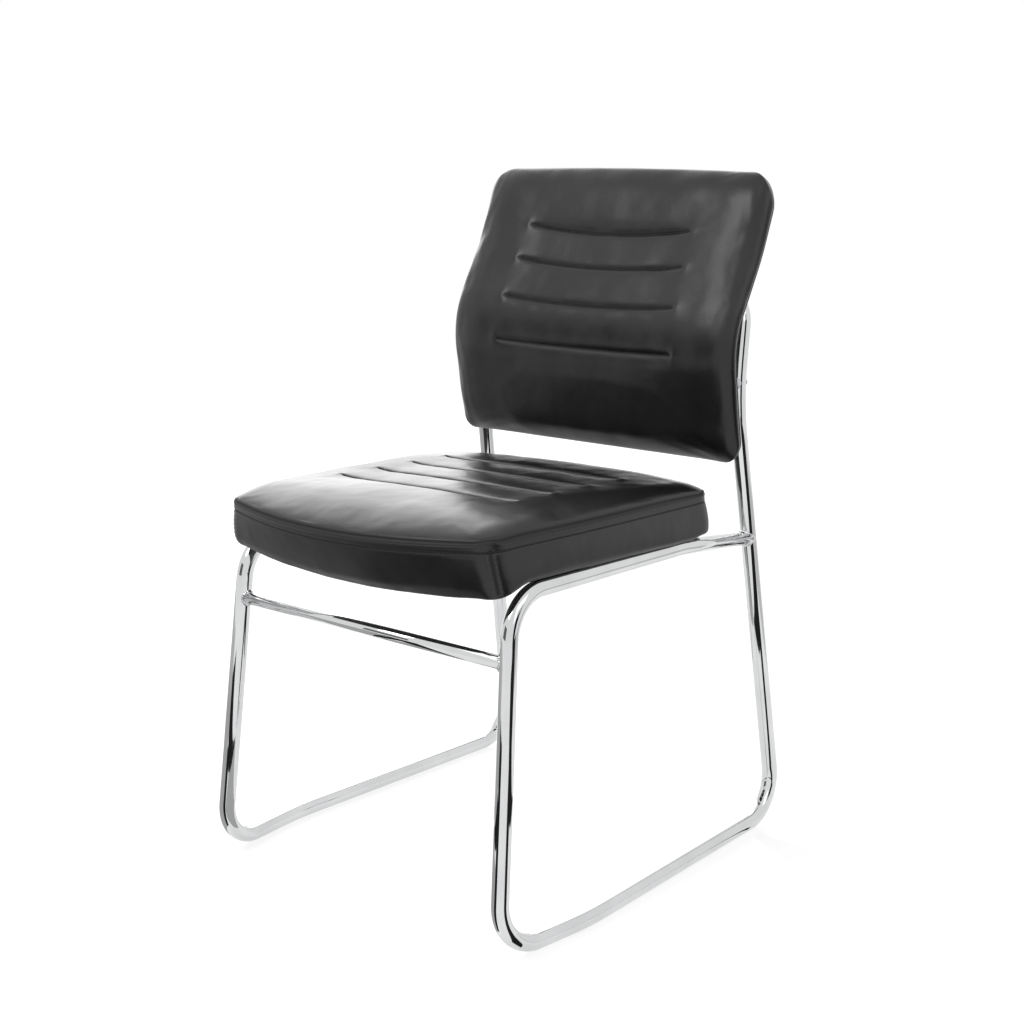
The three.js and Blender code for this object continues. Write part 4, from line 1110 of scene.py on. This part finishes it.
def sew_seat():
    surface = surface_of(seat)
    lower = SeatLevel(SEAM_ROW_OFFSET / BAND_HEIGHT)
    bodies = stitch_bodies([lower.on_band(x, y) for x, y in lower.outline], surface, closed=True)
    top = SeatLevel(0)
    upper = scaled_ring(top.outline, 1 - UPPER_ROW_INSET / SEAT_HALVES[1])
    bodies += stitch_bodies([top.place(x, y, seam_height(y) + SEAM_ROW_OFFSET) for x, y in upper],
                            surface, closed=True)
    corner_bodies = []
    levels = [SeatLevel(share) for share in CORNER_ROW_LEVELS]
    for corner in (0, CELLS):
        for row in (-CORNER_ROW_OFFSET, CORNER_ROW_OFFSET):
            line = []
            for level in levels:
                here = level.outline[corner]
                along = level.outline[corner + 1] - level.outline[corner - 1]
                line.append(level.on_band(*(here + along / np.linalg.norm(along) * row)))
            corner_bodies += stitch_bodies(line, surface)
    new_piece("corner_stitching", *joined(*corner_bodies), grey_thread, "leather")
    for line in seat_channels.lines(lambda x, y: (x, y, seam_height(y) + seat_rise(x, y) - 0.004)):
        bodies += stitch_bodies(line, surface)
    return new_piece("seat_stitching", *joined(*bodies), thread, "leather")


def sew_back():
    surface = surface_of(back)
    bodies = []
    for line in back_channels.lines(lambda x, h: back_place(x, h, back_depth(x, h) - 0.003)):
        bodies += stitch_bodies(line, surface)
    row = [back_place(x, h, 0.0) for x, h in back_outline(BACK_SKIN + BACK_SEAM_INSET)]
    bodies += stitch_bodies(row, surface_of(back_panel), closed=True)
    return new_piece("back_stitching", *joined(*bodies), thread, "leather")


sew_seat()
sew_back()


# Lining under the seat

def make_lining():
    level = SeatLevel(1, BAND_EDGE_RADIUS + LINING_INSET)
    bars = [sum(corner.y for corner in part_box(f"seat_bar_{end}")) / 2 for end in ("front", "rear")]

    def sag(x, y):
        across = max(0.0, 1 - (x / (RAIL_FRONT[0] - 2 * TUBE_RADIUS)) ** 2)
        off_bars = min(1.0, min(abs(y - bar) for bar in bars) / LINING_BAR_REACH)
        ends = ((1 - front_fade(y, LINING_END_REACH))
                * (1 - smooth_step(y, SEAT_REAR - LINING_END_REACH, SEAT_REAR)))
        return LINING_SAG * across * off_bars ** 2 * ends

    def at(above):
        return lambda x, y: level.place(x, y, underside(y) + above - sag(x, y))

    body = slab(level.outline, SEAT_ROWS, at(LINING_ABOVE_EDGE), at(LINING_ABOVE_EDGE + LINING_THICKNESS))
    piece = new_piece("seat_lining", *body, lining, "cloth", ["seat_dust_cover"])
    return piece


make_lining()


# Fasteners: turned bodies with a hexagon socket

HEAD_RADIUS = 0.0055
HEAD_HEIGHT = 0.0033
HEAD_TURNS = np.linspace(math.radians(62), math.radians(4), 10)
HEAD_EDGE = 0.0001
SHANK_RADIUS = 0.003
SHANK_TIP = 0.0002
SOCKET_RADIUS = 0.002
SOCKET_DEPTH = 0.0018
SPLIT_ANGLE = math.radians(40)


def turned_body(profile, sides=48):
    """A profile turned about +Z. Each entry is a radius, a height and whether it's hexagonal."""
    points = []
    for radius, height, is_hex in profile:
        for k in range(sides):
            angle = 2 * math.pi * k / sides
            reach = radius
            if is_hex:
                reach = radius / math.cos(angle % (math.pi / 3) - math.pi / 6)
            points.append(Vector((reach * math.cos(angle), reach * math.sin(angle), height)))
    faces = []
    for j in range(len(profile) - 1):
        faces += row_faces(j * sides, (j + 1) * sides, sides)
    return points, faces + end_faces(len(profile), sides)


def button_bolt(length):
    """A button head bolt: its head lies below 0 and its shank runs up to the length."""
    return turned_body([
        (SOCKET_RADIUS * 0.2, SOCKET_DEPTH - HEAD_HEIGHT, True),
        (SOCKET_RADIUS, SOCKET_DEPTH - HEAD_HEIGHT, True),
        (SOCKET_RADIUS, -HEAD_HEIGHT * 0.93, True),
        (SOCKET_RADIUS * 1.12, -HEAD_HEIGHT * 0.97, True),
        *((HEAD_RADIUS * math.cos(a), -HEAD_HEIGHT * math.sin(a), False) for a in HEAD_TURNS),
        (HEAD_RADIUS, -HEAD_EDGE, False),
        (HEAD_RADIUS * 0.98, 0.0, False),
        (SHANK_RADIUS, 0.0, False),
        (SHANK_RADIUS, length, False),
        (SHANK_RADIUS * 0.1, length + SHANK_TIP, False),
    ])


def bolt_places():
    """The head's place and direction of each CAD bolt, read from its node."""
    for name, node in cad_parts.items():
        if "_bolt_" not in name:
            continue
        points = get_points(node.data)
        centre = points.mean(axis=0)
        _, _, axes = np.linalg.svd(points - centre, full_matrices=False)
        along = axes[0]
        reach = (points - centre) @ along
        radial = np.linalg.norm(points - centre - np.outer(reach, along), axis=1)
        on_head = radial > HEAD_RADIUS * 0.9
        if reach[on_head].mean() > 0:
            along, reach = -along, -reach
        head_face = reach[on_head].max()
        yield name, centre + along * head_face, along, reach.max() - head_face


for bolt_name, bolt_place, bolt_along, bolt_length in bolt_places():
    look, slot_name = (chrome, "chrome") if bolt_name.startswith("back") else (steel, "steel")
    turn = Vector((0, 0, 1)).rotation_difference(Vector(bolt_along))
    bolt_points, bolt_faces = button_bolt(bolt_length)
    fastener = new_piece(f"smooth_{bolt_name}", [turn @ p + Vector(bolt_place) for p in bolt_points],
                         bolt_faces, look, slot_name, [bolt_name])
    fastener.modifiers.new("edges", "EDGE_SPLIT").split_angle = SPLIT_ANGLE


# The CAD nodes that stay

CARRIED_STEEL = ("bow_sleeve", "seat_bar_", "seat_washer_", "seat_tee_nut_", "back_insert_", "back_spacer_")

for node_name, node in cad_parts.items():
    if node_name.startswith((*CARRIED_STEEL, "seat_board")):
        node.data.materials.clear()
        node.data.materials.append(steel if node_name.startswith(CARRIED_STEEL) else plywood)


# Stage: white floor and world, cards that only reflections see, soft lamps

WORLD_LIGHT = 0.66
FLOOR_SIZE = 60.0
FLOOR_GREY = 0.88
FLOOR_GLOSS_SHARE = 0.13
FLOOR_GLOW = 1.32
FLOOR_GLOW_SHARE = 0.55
CARD_STEPS = 9
CARD_DISTANCE = 3.0
LAMP_AIM = Vector((0, 0, 0.45))

# Upright cards: degrees from the camera, width, lowest and highest, and shade
PANELS = {"dark_panel_left": (-62, 2.0, 0.3, 1.4, 0.15), "dark_panel_right": (45, 1.2, 0.0, 2.2, 0.02)}

# Floor cards, each a part of a ring round a leg: degrees from the camera, radii, height and shade
FRONT_LEG = (0.215, -0.25)
FAR_LEG = (-0.215, -0.25)
REAR_LEG = (0.215, 0.23)
FLOOR_CARDS = {
    "floor_card_left": (FRONT_LEG, (-76, -45), (0.03, 1.7), 0.0020, 0.02),
    "floor_card_right": (FRONT_LEG, (45, 78), (0.03, 2.8), 0.0020, 0.02),
    "floor_card_far": (FAR_LEG, (-62, -31), (0.03, 0.65), 0.0024, 0.02),
    "floor_card_rear": (REAR_LEG, (30, 56), (0.03, 2.8), 0.0024, 0.02),
    "floor_card_grey": (FRONT_LEG, (-150, -76), (0.03, 0.40), 0.0012, 0.5),
    "floor_card_grey_left": (FRONT_LEG, (-150, -76), (0.9, 2.6), 0.0012, 0.6),
    "floor_card_grey_right": (FRONT_LEG, (80, 125), (1.25, 3.2), 0.0012, 0.7),
    "floor_card_grey_far": (FAR_LEG, (-150, -62), (0.03, 1.2), 0.0016, 0.5),
}

# Lamps: place, size and power
LAMPS = {
    "key_lamp": ((-0.8, -2.0, 2.6), 1.3, 23),
    "fill_lamp": ((2.2, -0.6, 2.2), 2.0, 8),
    "rear_lamp": ((-2.2, 2.0, 1.65), 2.6, 46),
}


def view_share(tree):
    """1 for the rays that show the background, as the camera, gloss and glass see it."""
    path = add_node(tree, "LightPath")
    total = path.outputs["Is Camera Ray"]
    for name in ("Is Glossy Ray", "Is Transmission Ray"):
        total = calculated(tree, "MAXIMUM", total, path.outputs[name])
    return total


def mixed_shaders(tree, share, first, second):
    """Two shaders mixed by a plain number or an output."""
    mix = add_node(tree, "MixShader")
    if isinstance(share, float):
        mix.inputs["Fac"].default_value = share
    else:
        link(tree, share, mix, "Fac")
    link(tree, first.outputs[0], mix, 1)
    link(tree, second.outputs[0], mix, 2)
    return mix


def white_light(tree, kind, strength, shade=1):
    return add_node(tree, kind, Color=(shade, shade, shade, 1), Strength=strength)


def make_world():
    world = bpy.data.worlds.new("studio")
    bpy.context.scene.world = world
    world.use_nodes = True
    tree = world.node_tree
    tree.nodes.remove(tree.nodes["Background"])
    light = white_light(tree, "Background", WORLD_LIGHT)
    mix = mixed_shaders(tree, view_share(tree), light, white_light(tree, "Background", 1.0))
    link(tree, mix.outputs[0], tree.nodes["World Output"], "Surface")


def stage_piece(name, points, faces):
    """A mesh of the stage, and its material's tree without a surface."""
    mesh = bpy.data.meshes.new(name)
    mesh.from_pydata(points, [], faces)
    piece = put_object(name, mesh)
    material, tree, surface = new_material(name)
    tree.nodes.remove(surface)
    mesh.materials.append(material)
    return piece, tree, tree.nodes["Material Output"]


def make_floor():
    s = FLOOR_SIZE / 2
    _, tree, output = stage_piece("floor", [(-s, -s, 0), (s, -s, 0), (s, s, 0), (-s, s, 0)], [(0, 1, 2, 3)])
    matt = add_node(tree, "BsdfDiffuse", Color=(*grey(FLOOR_GREY), 1))
    gloss = add_node(tree, "BsdfGlossy", Color=(1, 1, 1, 1), Roughness=0.06)
    glow = white_light(tree, "Emission", FLOOR_GLOW)
    share = calculated(tree, "MULTIPLY", view_share(tree), FLOOR_GLOW_SHARE)
    lit = mixed_shaders(tree, share, mixed_shaders(tree, FLOOR_GLOSS_SHARE, matt, gloss), glow)
    link(tree, lit.outputs[0], output, "Surface")


def make_card(name, points, faces, shade):
    """A card of one grey that only reflections see."""
    card, tree, output = stage_piece(name, points, faces)
    link(tree, white_light(tree, "Emission", 1.0, shade).outputs[0], output, "Surface")
    card.visible_camera = False
    card.visible_diffuse = False
    card.visible_transmission = False
    card.visible_shadow = False


def make_panel(name, degrees_from_camera, width, low, high, shade):
    """A card that stands upright, turned to the chair."""
    angle = CAMERA_YAW - math.pi / 2 + math.radians(degrees_from_camera)
    middle = Vector((math.cos(angle), math.sin(angle), 0)) * CARD_DISTANCE
    across = Vector((-math.sin(angle), math.cos(angle), 0)) * width / 2
    left = middle - across
    right = middle + across
    make_card(name, [(left.x, left.y, low), (right.x, right.y, low), (right.x, right.y, high),
                     (left.x, left.y, high)], [(0, 1, 2, 3)], shade)


def make_floor_card(name, middle, degrees_from_camera, radii, height, shade):
    facing = math.atan2(CAMERA_PLACE[1] - middle[1], CAMERA_PLACE[0] - middle[0])
    angles = facing + np.radians(np.linspace(*degrees_from_camera, CARD_STEPS))
    points = [(middle[0] + radius * math.cos(angle), middle[1] + radius * math.sin(angle), height)
              for radius in radii for angle in angles]
    faces = [(i, i + 1, i + CARD_STEPS + 1, i + CARD_STEPS) for i in range(CARD_STEPS - 1)]
    make_card(name, points, faces, shade)


def make_lamp(name, place, size, power):
    data = bpy.data.lights.new(name, "AREA")
    data.shape = "SQUARE"
    data.size = size
    data.energy = power
    lamp = put_object(name, data)
    lamp.location = place
    lamp.rotation_mode = "QUATERNION"
    lamp.rotation_quaternion = (LAMP_AIM - Vector(place)).to_track_quat("-Z", "Y")
    lamp.visible_camera = False


def make_camera():
    data = bpy.data.cameras.new("camera")
    data.sensor_width = 36.0
    data.sensor_fit = "HORIZONTAL"
    data.lens = CAMERA_LENS
    data.shift_x, data.shift_y = CAMERA_SHIFT
    data.clip_end = 200
    camera = put_object("camera", data)
    bpy.context.scene.camera = camera
    camera.location = CAMERA_PLACE
    camera.rotation_euler = (math.pi / 2 + CAMERA_PITCH, 0, CAMERA_YAW)


make_world()
make_floor()
for card_name, sizes in PANELS.items():
    make_panel(card_name, *sizes)
for card_name, sizes in FLOOR_CARDS.items():
    make_floor_card(card_name, *sizes)
for lamp_name, sizes in LAMPS.items():
    make_lamp(lamp_name, *sizes)
make_camera()
bpy.context.scene.view_settings.view_transform = "Standard"
